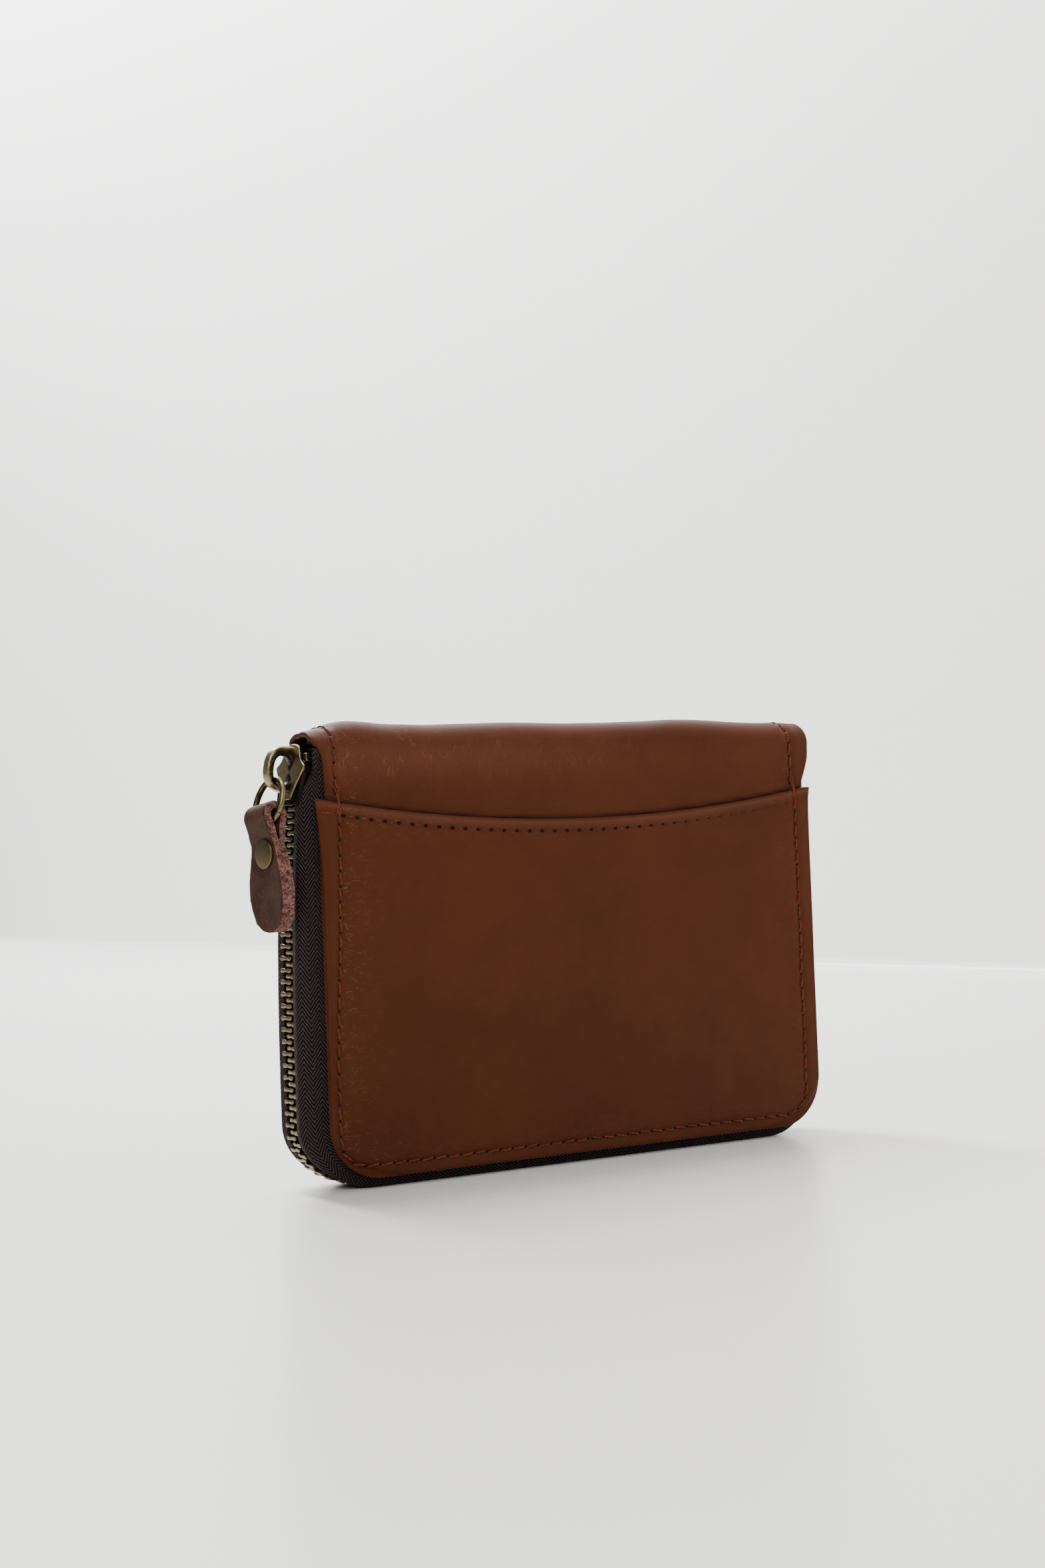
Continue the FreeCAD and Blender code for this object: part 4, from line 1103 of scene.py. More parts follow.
def rivet():
    """The rivet's cap on the outer face and its smaller back on the inner face."""
    face = TAB_PLY - 0.07
    centre = (RIVET_SIDE, RIVET_Z)

    def outward(y, z, h):
        return in_tab(-h, y, z)

    def inward(y, z, h):
        return in_tab(h, y, z)

    def head(radius, count, place):
        return rounded_prism(circle(radius, count, centre), face, face + 0.5, 0.2, 4, 0.0, place)

    shank = rounded_prism(circle(0.9, 20, centre), -face, face + 0.1, 0.05, 1, 0.0, outward)
    front = join_parts([head(RIVET_CAP, 48, outward), shank])
    rear = head(RIVET_CAP - 0.2, 44, inward)
    return metal_piece("rivet_cap", *front, 0.45, 40), metal_piece("rivet_back", *rear, 0.45, 40)


# ---------------------------------------------------------------- the inside
LINING_BEND = 2.1        # outer radius of the lining over the spine folds
COIN_TEETH = 55          # places for teeth in a row; the slider covers some of them
COIN_PITCH = 1.6


def lining(side):
    """One half of the lining, from the spine's middle down to its lower edge, and its length."""
    start = LINING_OUT - LINING_BEND + LINING_BEND * math.pi / 2
    total = start + (LINING_TOP - LINING_BEND) - LINING_LOW
    corner = COVER_CORNER - 3.4
    steps = (0.0, 0.1, 0.3, 0.7, 1.4)
    outer, inner, uvs = [], [], []
    for t in spaced(0.0, total, [0.0, 0.5], steps, 1.6):
        (y, z), (ny, nz) = folded_point(t, LINING_OUT, LINING_TOP, LINING_BEND)
        z_flat = total + LINING_LOW - t
        half = cover_half_width(z_flat, LINING_HALF, corner, LINING_LOW)
        outer_row, inner_row = [], []
        for x in panel_columns(-half, half, steps, 56):
            edge = max(0.0, min(half - abs(x), edge_distance(x, z_flat, LINING_HALF, corner, LINING_LOW)))
            rim = rim_profile(edge, LINING, 0.3)
            sag = 0.06 * wander(x, t, 14, 51 + side) - 0.06
            high, deep = -rim, rim - LINING + min(0.0, sag)
            outer_row.append((x, side * (y + ny * high), z + nz * high))
            inner_row.append((x, side * (y + ny * deep), z + nz * deep))
            uvs.append((x, side * t))
        outer.append(outer_row)
        inner.append(inner_row)
    return shell("lining_" + WORD[side], outer, inner, uvs), total


def flat_panel(name, node, face_side, corner, swell, groove_down=0.0):
    """A thin soft panel in a CAD node's box; its free face is towards face_side along Y."""
    low, high = low_mm(node), high_mm(node)
    steps = (0.0, 0.06, 0.2, 0.45, 0.9, 1.5, 2.2, 3.0)
    half = (high.x - low.x) / 2
    free = high.y if face_side > 0 else low.y
    fixed = low.y if face_side > 0 else high.y
    thick = abs(free - fixed)
    outer, inner, uvs = [], [], []
    marks = {"crease": [], "rim": []}
    for z in spaced(low.z, high.z, steps, steps, 1.5):
        width = cover_half_width(z, half, corner, low.z)
        outer_row, inner_row = [], []
        for x in panel_columns(-width, width, steps, 60):
            edge = max(0.0, min(width - abs(x), high.z - z, edge_distance(x, z, half, corner, low.z)))
            rim = rim_profile(edge, thick, 0.25)
            bulge = swell * smoothstep(0, 9, edge) + 0.03 * wander(x, z, 9, thick * 100 + low.z)
            seam = -0.1 * bell(edge, 1.8, 0.4)
            hem = -0.08 * bell(high.z - z, groove_down, 0.4) if groove_down else 0.0
            outer_row.append((x, free + face_side * (bulge + seam + hem - rim), z))
            inner_row.append((x, fixed + face_side * rim, z))
            uvs.append((x + 3 * low.y, z))
            marks["crease"].append(0.25)
            marks["rim"].append(1 - smoothstep(0.1, 0.9, edge))
        outer.append(outer_row)
        inner.append(inner_row)
    return shell(name, outer, inner, uvs, marks)


def panel_stitches(name, node, face_side, corner, inset, seed, across_mouth=0.0):
    """Running stitches round the sides and base of an inner pocket, and along its mouth."""
    low, high = low_mm(node), high_mm(node)
    free = high.y if face_side > 0 else low.y
    half = (high.x - low.x) / 2 - inset
    radius = max(0.6, corner - inset)
    base = low.z + inset
    route = [(-half, high.z - 1.0), (-half, base + radius)]
    for k in range(1, 7):
        angle = math.radians(15 * k)
        route.append((-half + radius * (1 - math.cos(angle)), base + radius * (1 - math.sin(angle))))
    route += [(-x, z) for x, z in reversed(route)]
    runs = [route]
    if across_mouth:
        runs.append([(-half, high.z - across_mouth), (half, high.z - across_mouth)])
    rng = random.Random(seed)
    parts = []
    for points in runs:
        for x, z, tx, tz in along_path(points, 2.6, 1.3):
            a = (x - tx * 0.95, free, z - tz * 0.95)
            b = (x + tx * 0.95, free, z + tz * 0.95)
            parts.append(stitch_strands(a, b, (0, face_side, 0), 0.1, rng))
    return thread_piece(name, parts)


def coin_zip():
    """The coin pocket's tapes, teeth, slider and pull, each in its CAD node's box."""
    made = {}
    for node in ("coin_zip_lower_tape", "coin_zip_upper_tape"):
        low, high = low_mm(node), high_mm(node)
        columns = 96
        outer, inner, uvs = [], [], []
        mid = (low.y + high.y) / 2
        for z in spaced(low.z, high.z, (0.0, 0.1, 0.3), (0.0, 0.1, 0.3), 0.5):
            edge = min(z - low.z, high.z - z)
            half = (high.y - low.y) / 2 * (0.5 + 0.5 * smoothstep(0, 0.3, edge))
            xs = [low.x + (high.x - low.x) * k / columns for k in range(columns + 1)]
            wave = [0.02 * wander(x, z, 3, 71) for x in xs]
            outer.append([(x, mid + half + w, z) for x, w in zip(xs, wave)])
            inner.append([(x, mid - half + w, z) for x, w in zip(xs, wave)])
            uvs += [(x, z) for x in xs]
        made[node] = shell(node, outer, inner, uvs)
    chain_z = (high_mm("coin_zip_lower_tape").z + low_mm("coin_zip_upper_tape").z) / 2
    slider_low, slider_high = low_mm("coin_slider"), high_mm("coin_slider")
    slider_x = (slider_low.x + slider_high.x) / 2
    for node, sign in (("coin_zip_lower_teeth", -1), ("coin_zip_upper_teeth", 1)):
        low, high = low_mm(node), high_mm(node)
        root = abs((low.z if sign < 0 else high.z) - chain_z)
        outline = [(0.3, root + 0.35), (0.34, root - 0.1), (0.22, root - 0.8), (0.3, 0.0), (0.16, -0.5)]
        outline += [(-a, b) for a, b in reversed(outline)]
        parts = []
        for i in range(COIN_TEETH):
            x = low_mm("coin_pocket").x + 3 + (i + 0.25 * (1 + sign)) * COIN_PITCH
            if abs(x - slider_x) < 4.2 or x > high.x + 0.1:
                continue

            def place(a, b, h):
                return (x + a, h, chain_z + sign * b)

            parts.append(rounded_prism(outline, low.y, high.y, 0.08, 2, 0.0, place))
        made[node] = metal_piece(node, *join_parts(parts), 0.6, 45)
    made["coin_slider"], made["coin_pull"] = coin_slider(slider_low, slider_high, chain_z)
    return made


def coin_slider(low, high, chain_z):
    """Small slider of two shield-shaped plates with a stud, and the pull that hangs from it."""
    mid_x = (low.x + high.x) / 2
    half_x, half_z = (high.x - low.x) / 2, (high.z - low.z) / 2
    outline = [(-half_x, -0.8), (-half_x, 0.8), (-0.4, half_z), (half_x, half_z * 0.8),
               (half_x, -half_z * 0.8), (-0.4, -half_z)]
    outline = round_corners(outline, 0.8)
    stud_top = high.y
    plate_top = stud_top - 0.8
    thick = 0.36

    def place(a, b, h):
        return (mid_x + a, h, chain_z + b)

    def place_low(a, b, h):
        return (mid_x + a, h, chain_z - 0.8 + b)

    post = circle(0.8, 20, (1.2 - half_x, 0.0))
    parts = [
        rounded_prism(outline, plate_top - thick, plate_top, 0.1, 3, 0.06, place),
        rounded_prism(outline, low.y, low.y + thick, 0.1, 3, 0.0, place),
        rounded_prism(post, low.y + 0.1, plate_top - 0.1, 0.05, 1, 0.0, place),
        rounded_prism(circle(0.5, 16), plate_top - 0.1, stud_top - 0.1, 0.05, 1, 0.0, place_low),
        rounded_prism(circle(0.8, 20), stud_top - 0.2, stud_top, 0.08, 2, 0.03, place_low),
    ]
    body = metal_piece("coin_slider", *join_parts(parts), 0.6, 40)
    pull_low, pull_high = low_mm("coin_pull"), high_mm("coin_pull")
    blade = [(0.0, 1.6), (1.2, 1.1), (1.6, 0.0), (1.1, -1.6), (0.9, -6.0), (1.5, -10.5), (1.45, -12.0),
             (0.7, -13.0)]
    blade += [(-a, b) for a, b in reversed(blade[1:])]
    blade = [tuple(p) for p in smooth_line(blade + [blade[0]], 3)][:-1]
    pull = rounded_prism(blade, pull_low.y, pull_high.y, 0.16, 3, 0.0, place_low)
    return body, metal_piece("coin_pull", *pull, 0.6, 40)


# ---------------------------------------------------------------- materials
class Graph:
    """A material's node tree, with short calls for its nodes."""

    def __init__(self, name):
        self.material = bpy.data.materials.new(name)
        self.material.use_nodes = True
        self.tree = self.material.node_tree
        self.shader = self.tree.nodes["Principled BSDF"]

    def put(self, node, socket, value):
        if isinstance(value, bpy.types.NodeSocket):
            self.tree.links.new(value, node.inputs[socket])
        else:
            node.inputs[socket].default_value = value

    def node(self, kind, output=0, settings=None, **inputs):
        """A new node's output; inputs are given by name, or by number as _0, _1 and so on."""
        made = self.tree.nodes.new(kind)
        for key, value in (settings or {}).items():
            setattr(made, key, value)
        for key, value in inputs.items():
            self.put(made, int(key[1:]) if key[0] == "_" else key, value)
        return made.outputs[output]

    def math(self, operation, a, b=0.0):
        return self.node("ShaderNodeMath", 0, {"operation": operation}, _0=a, _1=b)

    def plus(self, a, b):
        return self.math("ADD", a, b)

    def minus(self, a, b):
        return self.math("SUBTRACT", a, b)

    def times(self, a, b):
        return self.math("MULTIPLY", a, b)

    def uv(self):
        return self.node("ShaderNodeUVMap", 0, {"uv_map": "UVMap"})

    def place(self, vector, scale=(1, 1, 1), turn=0.0, shift=(0, 0, 0)):
        return self.node("ShaderNodeMapping", 0, None, Vector=vector, Scale=scale, Rotation=(0, 0, turn),
                         Location=shift)

    def mark(self, name):
        return self.node("ShaderNodeAttribute", 2, {"attribute_name": name})

    def noise(self, vector, scale, detail=3.0, rough=0.5, distortion=0.0):
        return self.node("ShaderNodeTexNoise", 0, None, Vector=vector, Scale=scale, Detail=detail,
                         Roughness=rough, Distortion=distortion)

    def cells(self, vector, scale, feature="F1"):
        return self.node("ShaderNodeTexVoronoi", 0, {"feature": feature}, Vector=vector, Scale=scale)

    def spread(self, value, low, high, to_low=0.0, to_high=1.0):
        return self.node("ShaderNodeMapRange", 0, {"clamp": True, "interpolation_type": "SMOOTHSTEP"},
                         _0=value, _1=low, _2=high, _3=to_low, _4=to_high)

    def mix(self, share, a, b):
        made = self.tree.nodes.new("ShaderNodeMix")
        made.data_type = "RGBA"
        self.put(made, 0, share)
        self.put(made, 6, a)
        self.put(made, 7, b)
        return made.outputs[2]

    def bump(self, height, distance, strength=1.0):
        made = self.tree.nodes.new("ShaderNodeBump")
        made.inputs["Strength"].default_value = strength
        made.inputs["Distance"].default_value = distance
        self.put(made, "Height", height)
        return made.outputs[0]

    def finish(self, **inputs):
        for key, value in inputs.items():
            self.put(self.shader, key.replace("_", " "), value)
        return self.material


def rgb(red, green, blue):
    return (red, green, blue, 1.0)


def leather_material(name, base, deep, light, seams=True, hem=False):
    """Waxed leather: softly mottled colour, fine grain, creases with painted highlights, a painted sheen
    over the fold, painted shadow along the pocket's mouth, a painted highlight on its lip, and dark stitch
    holes painted as shade.
    """
    g = Graph(name)
    uv = g.uv()
    mottle = g.noise(uv, 0.3, 3.0, 0.5, 0.4)
    cloud = g.noise(g.place(uv, turn=0.4, shift=(3, 1, 0)), 1.7, 5.0, 0.6)
    tone = g.spread(g.plus(g.times(mottle, 0.7), g.times(cloud, 0.3)), 0.33, 0.67)
    colour = g.mix(tone, deep, base)
    pores = g.cells(g.place(uv, turn=0.2), 21.0)
    pebbles = g.cells(uv, 30.0, "SMOOTH_F1")
    fibre = g.noise(uv, 55.0, 4.0, 0.6)
    specks = g.spread(pores, 0.02, 0.14, 1.0, 0.0)
    patch = g.spread(g.noise(uv, 1.1, 2.0), 0.5, 0.7)
    colour = g.mix(g.times(g.times(specks, patch), 0.35), colour, deep)
    seam_lines = g.noise(g.place(uv, (1.2, 3.6, 1), 0.35), 3.4, 3.0, 0.6, 1.3)
    seam_ridge = g.spread(g.math("ABSOLUTE", g.minus(seam_lines, 0.5)), 0.0, 0.028, 1.0, 0.0)
    seam_broken = g.spread(g.noise(g.place(uv, (1.0, 1.6, 1), 0.0, (2, 7, 0)), 5.0, 3.0), 0.49, 0.6)
    fold_lines = g.noise(g.place(uv, (3.2, 1.2, 1), -0.45, (5, 2, 0)), 3.4, 4.0, 0.6, 1.4)
    fold_ridge = g.spread(fold_lines, 0.5, 0.72)
    fold_broken = g.spread(g.noise(g.place(uv, (0.8, 1.0, 1), 0.0, (1, 3, 0)), 2.6, 4.0, 0.6), 0.42, 0.66)
    seam_part = g.times(g.times(seam_ridge, seam_broken), g.mark("crease"))
    fold_part = g.times(g.times(fold_ridge, fold_broken), g.mark("fold_streaks_and_sheen"))
    ridges = g.plus(g.times(seam_part, 0.85), g.times(fold_part, 0.5))
    # Painted sheen: a broad pale tint over the fold beside the spine, over the real paleness of worn
    # leather at the bend.
    colour = g.mix(g.times(g.mark("fold_streaks_and_sheen"), 0.17), colour, light)
    # Painted highlights: pale lines along the raised creases by the seams and the wrinkles across the
    # fold.
    colour = g.mix(ridges, colour, light)
    colour = g.mix(g.times(g.mark("rim"), 0.6), colour, deep)
    # Painted shadow: near-black along the slip pocket's mouth on the front cover.
    colour = g.mix(g.times(g.mark("gap"), 0.85), colour, rgb(0.008, 0.003, 0.0015))
    # Painted highlight: a paler band along the slip pocket's turned mouth.
    colour = g.mix(g.times(g.mark("lip"), 0.16), colour, light)
    height = g.plus(g.times(pebbles, 0.35), g.times(fibre, 0.4))
    height = g.plus(height, g.times(g.times(pores, 0.25), patch))
    height = g.plus(height, g.times(ridges, 1.4))
    if seams:
        colour, height = stitch_holes(g, colour, height, g.mark("seam_along"), g.mark("seam_in"), 0.24)
    if hem:
        span = HALF_W - SEAM_LEFT - 1.0
        pitch = 2 * span / int(2 * span / STITCH_PITCH)
        along = g.math("DIVIDE", g.plus(g.mark("hem_along"), span), pitch / STITCH_PITCH)
        inside = g.spread(g.math("ABSOLUTE", g.mark("hem_along")), span + 0.6, span + 0.9, 0.0, 9.0)
        faded = g.spread(g.mark("hem_along"), 0.0, span, 0.0, 0.3)
        down = g.plus(g.math("ABSOLUTE", g.mark("hem_down")), g.plus(inside, faded))
        colour, height = stitch_holes(g, colour, height, along, down, 0.36)
    rough = g.spread(g.plus(g.times(mottle, 0.6), g.times(fibre, 0.4)),
                     0.3, 0.7, 0.36, 0.5)
    normal = g.bump(height, 0.00007, 0.75)
    return g.finish(Base_Color=colour, Roughness=rough, Normal=normal, Specular_IOR_Level=0.05)


def stitch_holes(g, colour, height, along, off, radius):
    """Sunk holes where the needle went, one each stitch pitch along a seam, painted near-black as shade,
    with painted shade along the stitch line.
    """
    turn = g.math("FRACT", g.math("DIVIDE", g.plus(along, STITCH_PITCH / 2), STITCH_PITCH))
    from_hole = g.times(g.minus(turn, 0.5), STITCH_PITCH / 1.35)
    distance = g.math("SQRT", g.plus(g.times(from_hole, from_hole),
                                     g.times(off, off)))
    hole = g.spread(distance, radius * 0.75, radius * 1.25, 1.0, 0.0)
    around = g.spread(distance, radius, radius * 3.2, 1.0, 0.0)
    track = g.spread(g.math("ABSOLUTE", off), 0.15, 0.7, 1.0, 0.0)
    # Painted shade: a darker track along the sunk stitch line, and near-black in the needle holes.
    colour = g.mix(g.times(track, 0.3), colour, rgb(0.035, 0.012, 0.006))
    colour = g.mix(hole, colour, rgb(0.006, 0.003, 0.002))
    height = g.minus(height, g.times(around, 1.6))
    return colour, height


def tape_material():
    """Woven polyester tape: a herringbone of slanting ribs, with a corded edge."""
    g = Graph("zip_tape")
    uv = g.uv()
    split = g.node("ShaderNodeSeparateXYZ", 0, None, Vector=uv)
    across = split.node.outputs[1]
    band = g.math("PINGPONG", across, 0.17)
    slant = g.plus(split, g.times(band, 1.5))
    rib = g.math("SINE", g.times(slant, 2 * math.pi / 0.092))
    thread = g.math("SINE", g.times(across, 2 * math.pi / 0.045))
    fuzz = g.noise(uv, 60.0, 4.0, 0.7)
    weave = g.plus(g.times(rib, 0.75), g.times(thread, 0.12))
    height = g.plus(weave, g.times(fuzz, 0.7))
    # Painted highlight and shade: the colour follows the weave's height, dark in the troughs between ribs
    # and lighter on the rib tops.
    shade = g.spread(height, -0.05, 1.2)
    # Pale specks: partly lint, partly painted glints on the fibres.
    lint_and_glints = g.spread(g.noise(g.place(uv, shift=(9, 4, 0)), 26.0, 2.0), 0.66, 0.74)
    colour = g.mix(shade, rgb(0.001, 0.0005, 0.0005), rgb(0.056, 0.03, 0.031))
    colour = g.mix(g.times(lint_and_glints, 0.25), colour, rgb(0.13, 0.11, 0.11))
    rough = g.spread(fuzz, 0.3, 0.7, 0.62, 0.85)
    return g.finish(Base_Color=colour, Roughness=rough, Normal=g.bump(height, 0.0002, 1.0),
                    Specular_IOR_Level=0.16)


def lining_material(name, dark, light):
    """Cotton twill: diagonal ribs crossed by fine threads."""
    g = Graph(name)
    uv = g.uv()
    split = g.node("ShaderNodeSeparateXYZ", 0, None, Vector=uv)
    across = split.node.outputs[1]
    rib = g.math("SINE", g.times(g.plus(split, across), 2 * math.pi / 0.06))
    weft = g.math("SINE", g.times(across, 2 * math.pi / 0.03))
    fuzz = g.noise(uv, 45.0, 4.0, 0.7)
    height = g.plus(g.times(rib, 0.5), g.times(weft, 0.25))
    height = g.plus(height, g.times(fuzz, 0.6))
    wash = g.noise(uv, 0.7, 3.0)
    # Painted highlight and shade: the colour follows the weave's height, dark between the threads and
    # lighter on the ribs.
    colour = g.mix(g.spread(height, -0.5, 1.1), dark, light)
    colour = g.mix(g.spread(wash, 0.4, 0.7, 0.0, 0.25), colour, dark)
    return g.finish(Base_Color=colour, Roughness=g.spread(fuzz, 0.3, 0.7, 0.75, 0.95),
                    Normal=g.bump(height, 0.0001, 0.7), Sheen_Weight=0.15, Sheen_Roughness=0.6)


def brass_material(name, bright, patina, dark_share):
    """Antiqued brass: dark in its hollows, rubbed bright where it is handled."""
    g = Graph(name)
    place = g.node("ShaderNodeTexCoord", 3)
    blotch = g.noise(place, 900.0, 5.0, 0.65, 0.4)
    fine = g.noise(place, 5200.0, 4.0, 0.6)
    worn = g.mark("worn")
    share = g.plus(worn, g.times(g.minus(blotch, 0.5), 0.9))
    share = g.spread(g.minus(share, dark_share), 0.0, 0.6)
    colour = g.mix(share, patina, bright)
    colour = g.mix(g.spread(fine, 0.56, 0.72, 0.0, 0.4), colour, patina)
    rough = g.spread(g.plus(g.times(blotch, 0.5), g.times(fine, 0.5)),
                     0.35, 0.65, 0.26, 0.46)
    return g.finish(Base_Color=colour, Roughness=rough, Metallic=1.0, Normal=g.bump(fine, 0.00002, 0.35))


def thread_material():
    """Waxed linen thread: fine fibres and slight fading."""
    g = Graph("thread")
    place = g.node("ShaderNodeTexCoord", 3)
    fibre = g.noise(place, 5200.0, 3.0, 0.6)
    patch = g.noise(place, 260.0, 2.0)
    colour = g.mix(g.spread(fibre, 0.35, 0.65), rgb(0.05, 0.01, 0.005), rgb(0.2, 0.036, 0.014))
    colour = g.mix(g.spread(patch, 0.42, 0.62, 0.0, 0.6), colour, rgb(0.07, 0.016, 0.008))
    return g.finish(Base_Color=colour, Roughness=g.spread(fibre, 0.3, 0.7, 0.45, 0.7),
                    Normal=g.bump(fibre, 0.00004, 0.6), Specular_IOR_Level=0.12)


def tab_material():
    """Oiled brown leather of the tab: cloudy pull-up colour and long faint wrinkles."""
    g = Graph("tab_leather")
    uv = g.uv()
    cloud = g.noise(uv, 2.2, 5.0, 0.6, 0.5)
    grain = g.noise(uv, 50.0, 4.0, 0.6)
    pores = g.cells(uv, 26.0)
    long_lines = g.noise(g.place(uv, (0.8, 3.2, 1), 0.25), 4.5, 4.0, 0.6, 0.6)
    ridge = g.spread(g.math("ABSOLUTE", g.minus(long_lines, 0.5)), 0.0, 0.03, 1.0, 0.0)
    colour = g.mix(g.spread(cloud, 0.36, 0.64), rgb(0.024, 0.0098, 0.006), rgb(0.05, 0.022, 0.0145))
    colour = g.mix(g.times(ridge, 0.22), colour, rgb(0.1, 0.06, 0.05))
    height = g.plus(g.times(grain, 0.6), g.times(pores, 0.4))
    height = g.minus(height, g.times(ridge, 0.5))
    rough = g.spread(cloud, 0.35, 0.65, 0.42, 0.58)
    return g.finish(Base_Color=colour, Roughness=rough, Normal=g.bump(height, 0.00008, 0.7),
                    Specular_IOR_Level=0.07)


def raw_edge_material():
    """Cut edge of the tab: pinkish and fibrous, with painted shade in the pits between the fibres."""
    g = Graph("tab_raw_edge")
    place = g.node("ShaderNodeTexCoord", 3)
    fibre = g.noise(place, 1900.0, 6.0, 0.75, 1.4)
    clump = g.noise(g.place(place, turn=0.7), 900.0, 4.0, 0.7, 0.8)
    strand = g.spread(g.plus(g.times(fibre, 0.6), g.times(clump, 0.4)), 0.4, 0.6)
    # Painted shade: the colour goes near-black where the fibres lie low.
    colour = g.mix(strand, rgb(0.014, 0.005, 0.004), rgb(0.25, 0.118, 0.095))
    return g.finish(Base_Color=colour, Roughness=0.92, Normal=g.bump(fibre, 0.0003, 1.0),
                    Specular_IOR_Level=0.1)


def board_material():
    """Grey pulp board."""
    g = Graph("board")
    place = g.node("ShaderNodeTexCoord", 3)
    pulp = g.noise(place, 700.0, 6.0, 0.7)
    flecks = g.cells(place, 900.0)
    colour = g.mix(g.spread(pulp, 0.35, 0.65), rgb(0.2, 0.165, 0.12), rgb(0.34, 0.29, 0.22))
    colour = g.mix(g.spread(flecks, 0.0, 0.12, 0.4, 0.0), colour, rgb(0.1, 0.085, 0.07))
    return g.finish(Base_Color=colour, Roughness=0.9, Normal=g.bump(pulp, 0.00005, 0.5))


# ---------------------------------------------------------------- building the wallet
LEATHER_BASE = rgb(0.064, 0.0178, 0.0071)
LEATHER_DEEP = rgb(0.051, 0.014, 0.0056)
# Pale colour for the painted highlights on the creases and the pocket's lip, and for the painted sheen
# over the fold.
LEATHER_PALE = rgb(0.19, 0.08, 0.045)
leather = leather_material("cover_leather", LEATHER_BASE, LEATHER_DEEP, LEATHER_PALE)
pocket_leather = leather_material("pocket_panel_leather", LEATHER_BASE, LEATHER_DEEP,
                                  LEATHER_PALE, hem=True)
inner_leather = leather_material("pocket_leather", rgb(0.1, 0.034, 0.014), rgb(0.068, 0.022, 0.009),
                                 rgb(0.2, 0.09, 0.05), seams=False)
tape_cloth = tape_material()
lining_cloth = lining_material("lining", rgb(0.012, 0.009, 0.007), rgb(0.04, 0.03, 0.024))
brass = brass_material("antique_brass", rgb(0.17, 0.13, 0.062), rgb(0.014, 0.011, 0.008), 0.36)
rivet_brass = brass_material("rivet_brass", rgb(0.115, 0.08, 0.036), rgb(0.07, 0.048, 0.022), 0.0)
slider_brass = brass_material("slider_brass", rgb(0.27, 0.21, 0.11), rgb(0.018, 0.015, 0.011), 0.34)
thread = thread_material()
tab_leather = tab_material()
raw_edge = raw_edge_material()
board = board_material()


def finish_piece(piece, material, slot, *nodes):
    """Give a piece its material and hide the CAD nodes that it stands for; the slot is not used."""
    piece.data.materials.append(material)
    if nodes:
        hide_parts(*nodes)
    return piece


def fold(piece, side):
    """Bake a piece's placement into its mesh."""
    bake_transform(piece)


for side in (FRONT, BACK):
    word = WORD[side]
    nodes = ["front_cover"] if side == FRONT else ["back_cover", "spine_cover"]
    fold(finish_piece(leather_cover(side), leather, "cover_leather", *nodes), side)
    cloth, length = lining(side)
    nodes = ["front_lining"] if side == FRONT else ["back_lining", "spine_lining"]
    fold(finish_piece(cloth, lining_cloth, "lining", *nodes), side)
    tape = finish_piece(zip_tape(side), tape_cloth, "zip_tape", word + "_zip_tape")
    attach(tape, word + "_half")
    teeth = finish_piece(zip_teeth(side), brass, "antique_brass", word + "_zip_teeth")
    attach(teeth, word + "_half")
    stop = finish_piece(end_clamp(word + "_top_stop"), brass, "antique_brass", word + "_top_stop")
    stop.name = "top_stop_" + word
    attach(stop, word + "_half")

end_stop = finish_piece(end_clamp("bottom_stop"), brass, "antique_brass", "bottom_stop")
end_stop.name = "end_stop"
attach(end_stop, "back_half")

pocket = finish_piece(slip_pocket(), pocket_leather, "cover_leather", "front_slip_pocket")
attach(pocket, "front_half")

stitched = {name: thread_piece(name, parts) for name, parts in seams().items()}
homes = {
    "stitching_back": ("back_half", ["back_stitching"]),
    "stitching_front": ("front_half", ["front_stitching"]),
    "stitching_pocket_hem": ("front_half", ["pocket_hem_stitching"]),
    "stitching_spine_front": (FRONT, []),
    "stitching_spine_back": (BACK, ["spine_stitching"]),
}
for name, (home, nodes) in homes.items():
    finish_piece(stitched[name], thread, "thread", *nodes)
    if isinstance(home, str):
        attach(stitched[name], home)
    else:
        fold(stitched[name], home)

for piece, node in ((slider_body(), "slider_body"), (slider_bridge(), "slider_bridge")):
    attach(finish_piece(piece, slider_brass, "antique_brass", node), "slider")
    piece.name = node.replace("slider_", "zip_slider_")
ring = finish_piece(pull_ring(), brass, "antique_brass", "pull_ring")
ring.name = "jump_ring"
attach(ring, "ring")
tab = finish_piece(pull_tab(), tab_leather, "tab_leather", "pull_tab")
tab.data.materials.append(raw_edge)
raw = [value.value for value in tab.data.attributes["raw"].data]
for face in tab.data.polygons:
    if sum(raw[v] for v in face.vertices) >= 2 or len(face.vertices) > 4:
        face.material_index = 1
tab.name = "leather_tab"
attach(tab, "pull")
for piece, node in zip(rivet(), ("rivet_cap", "rivet_back")):
    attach(finish_piece(piece, rivet_brass, "antique_brass", node), "pull")
    piece.name = "tab_" + node

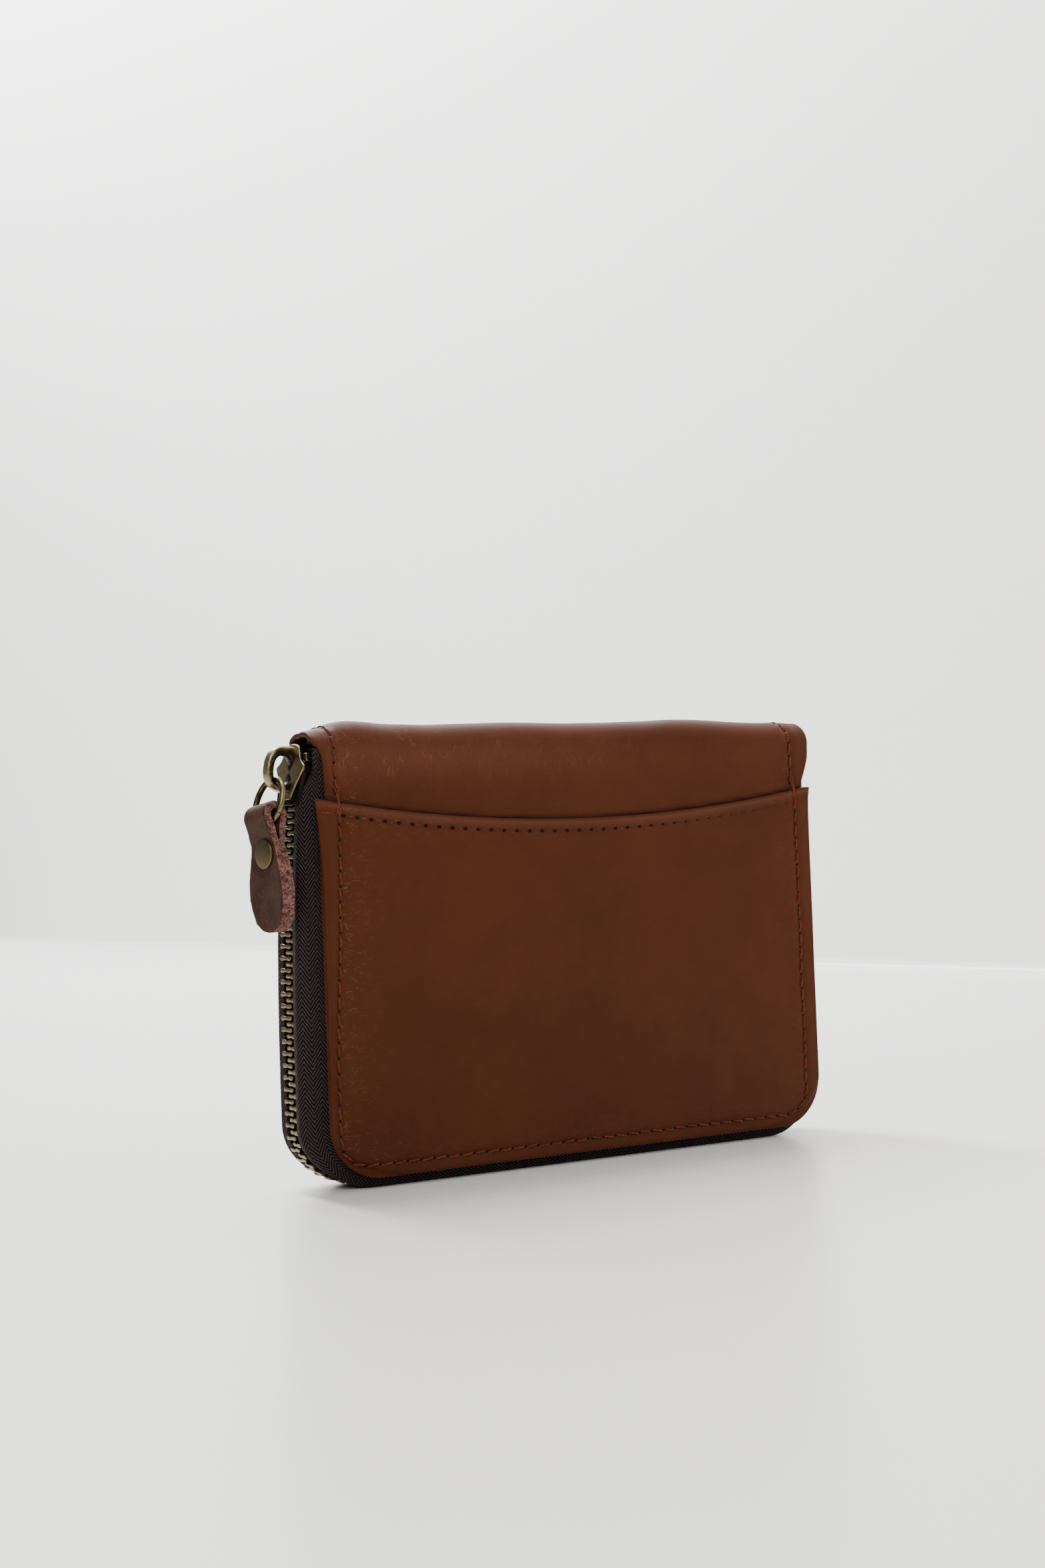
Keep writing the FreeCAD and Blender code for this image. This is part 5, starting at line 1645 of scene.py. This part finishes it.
for number, node in enumerate(("card_pocket_1", "card_pocket_2", "card_pocket_3")):
    panel = flat_panel("inner_" + node, node, FRONT, 3.0, 0.0, 2.0)
    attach(finish_piece(panel, inner_leather, "pocket_leather", node), "back_half")
    seam = panel_stitches("stitching_" + node, node, FRONT, 3.0, 1.8, 80 + number, 2.0)
    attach(finish_piece(seam, thread, "thread"), "back_half")
coin = flat_panel("coin_pocket_cloth", "coin_pocket", BACK, 4.0, 0.12)
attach(finish_piece(coin, lining_cloth, "lining", "coin_pocket"), "front_half")
seam = panel_stitches("stitching_coin_pocket", "coin_pocket", BACK, 4.0, 1.8, 90)
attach(finish_piece(seam, thread, "thread"), "front_half")
for node, piece in coin_zip().items():
    cloth = node.endswith("tape")
    finish_piece(piece, tape_cloth if cloth else brass, "zip_tape" if cloth else "antique_brass", node)
    piece.name = node.replace("coin_", "coin_pocket_")
    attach(piece, {"coin_slider": "inner_slider", "coin_pull": "inner_pull"}.get(node, "front_half"))
    if cloth:
        size = (high_mm(node) - low_mm(node)) * MM

for node in ("front_stiffener", "spine_stiffener", "back_stiffener"):
    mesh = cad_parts[node].data
    mesh.materials.clear()
    mesh.materials.append(board)


# ---------------------------------------------------------------- floor, wall, light and camera
CAMERA_AZIMUTH = -31.176
CAMERA_ELEVATION = -1.594
CAMERA_ROLL = -2.2
CAMERA_DISTANCE = 0.44907
CAMERA_TARGET = Vector((-8.445, 0, 78.141)) * MM
CAMERA_LENS = 49.676
WALL_BEHIND = 0.475
WALL_TURN = 52           # degrees between the view and the line square to the wall
WALL_HEIGHT = 2.6
ROOM_REACH = 9.0         # of the floor and the wall, to the sides and behind the camera
COVE_RADIUS = 0.006      # where the floor turns up into the wall
FLOOR_GAP = 0.00002      # between the floor and the wallet
WARM_WHITE = (1.0, 0.985, 0.955)

azimuth, elevation, roll = (math.radians(a) for a in (CAMERA_AZIMUTH, CAMERA_ELEVATION, CAMERA_ROLL))
back = Vector((math.sin(azimuth) * math.cos(elevation), -math.cos(azimuth) * math.cos(elevation),
               math.sin(elevation)))
right = Vector((math.cos(azimuth), math.sin(azimuth), 0))
up = right.cross(-back)
turned_right = right * math.cos(roll) + up * math.sin(roll)
turned_up = up * math.cos(roll) - right * math.sin(roll)
camera_data = bpy.data.cameras.new("camera")
camera_data.lens = CAMERA_LENS
camera_data.sensor_width = 36
camera_data.clip_start = 0.02
camera_data.clip_end = 20
camera = bpy.data.objects.new("camera", camera_data)
bpy.context.scene.collection.objects.link(camera)
turn = Matrix((turned_right, turned_up, back)).transposed()
camera.matrix_world = Matrix.Translation(CAMERA_TARGET + back * CAMERA_DISTANCE) @ turn.to_4x4()
bpy.context.scene.camera = camera


def stage_material(name, floor, wall, rough):
    """Pale matt paint, with one colour for the floor and one above it."""
    g = Graph(name)
    place = g.node("ShaderNodeTexCoord", 3)
    haze = g.noise(place, 3.0, 2.0)
    height = g.node("ShaderNodeSeparateXYZ", 2, None, Vector=place)
    tint = g.mix(g.spread(height, 0.0005, 0.004), floor, wall)
    tint = g.mix(g.spread(haze, 0.3, 0.7, 0.0, 0.04), tint, rgb(0.5, 0.5, 0.49))
    return g.finish(Base_Color=tint, Roughness=rough, Specular_IOR_Level=0.45)


def room():
    """Floor and wall in one strip, with a small cove between them."""
    angle = math.radians(WALL_TURN)
    forward = Vector((-back.x, -back.y, 0)).normalized() * math.cos(angle) + right * math.sin(angle)
    side = Vector((forward.y, -forward.x, 0))
    cove = WALL_BEHIND - COVE_RADIUS
    profile = [(-ROOM_REACH, 0.0), (-0.8, 0.0), (0.0, 0.0), (cove, 0.0)]
    for k in range(1, 9):
        angle = math.radians(90.0 * k / 8)
        profile.append((cove + COVE_RADIUS * math.sin(angle), COVE_RADIUS * (1 - math.cos(angle))))
    profile += [(WALL_BEHIND, 0.6), (WALL_BEHIND, WALL_HEIGHT)]
    points = []
    for ahead, height in profile:
        for across in (-ROOM_REACH, -0.6, 0.6, ROOM_REACH):
            point = forward * ahead + side * across
            points.append((point.x / MM, point.y / MM, (height - FLOOR_GAP) / MM))
    return make_mesh("studio_room", points, grid_faces(len(profile), 4))


studio = room()
studio.data.materials.append(stage_material("studio_paint", floor=rgb(0.7, 0.692, 0.68),
                                            wall=rgb(0.83, 0.82, 0.805), rough=0.3))


def area_light(name, place, towards, size, energy, colour=(1, 1, 1)):
    """A rectangular light at a place in metres, aimed at a point."""
    data = bpy.data.lights.new(name, "AREA")
    data.shape = "RECTANGLE"
    data.size, data.size_y = size
    data.energy = energy
    data.color = colour
    lamp = bpy.data.objects.new(name, data)
    bpy.context.scene.collection.objects.link(lamp)
    place, towards = Vector(place), Vector(towards)
    lamp.location = place
    lamp.rotation_mode = "QUATERNION"
    lamp.rotation_quaternion = (towards - place).to_track_quat("-Z", "Y")


area_light("window", place=(-0.9, -1.0, 1.1), towards=(0, 0.1, 0.03), size=(1.1, 1.1), energy=24,
           colour=WARM_WHITE)
area_light("ceiling", place=(0.1, 0.3, 1.5), towards=(0, 0.05, 0), size=(0.9, 0.9), energy=9,
           colour=WARM_WHITE)
area_light("wall_wash", place=(-0.1, 1.0, 1.3), towards=(0.42, 1.0, 0.95), size=(1.6, 0.3), energy=94)

world = bpy.data.worlds.new("studio")
bpy.context.scene.world = world
world.use_nodes = True
background = world.node_tree.nodes["Background"]
background.inputs["Color"].default_value = (0.92, 0.94, 0.97, 1)
background.inputs["Strength"].default_value = 0.27
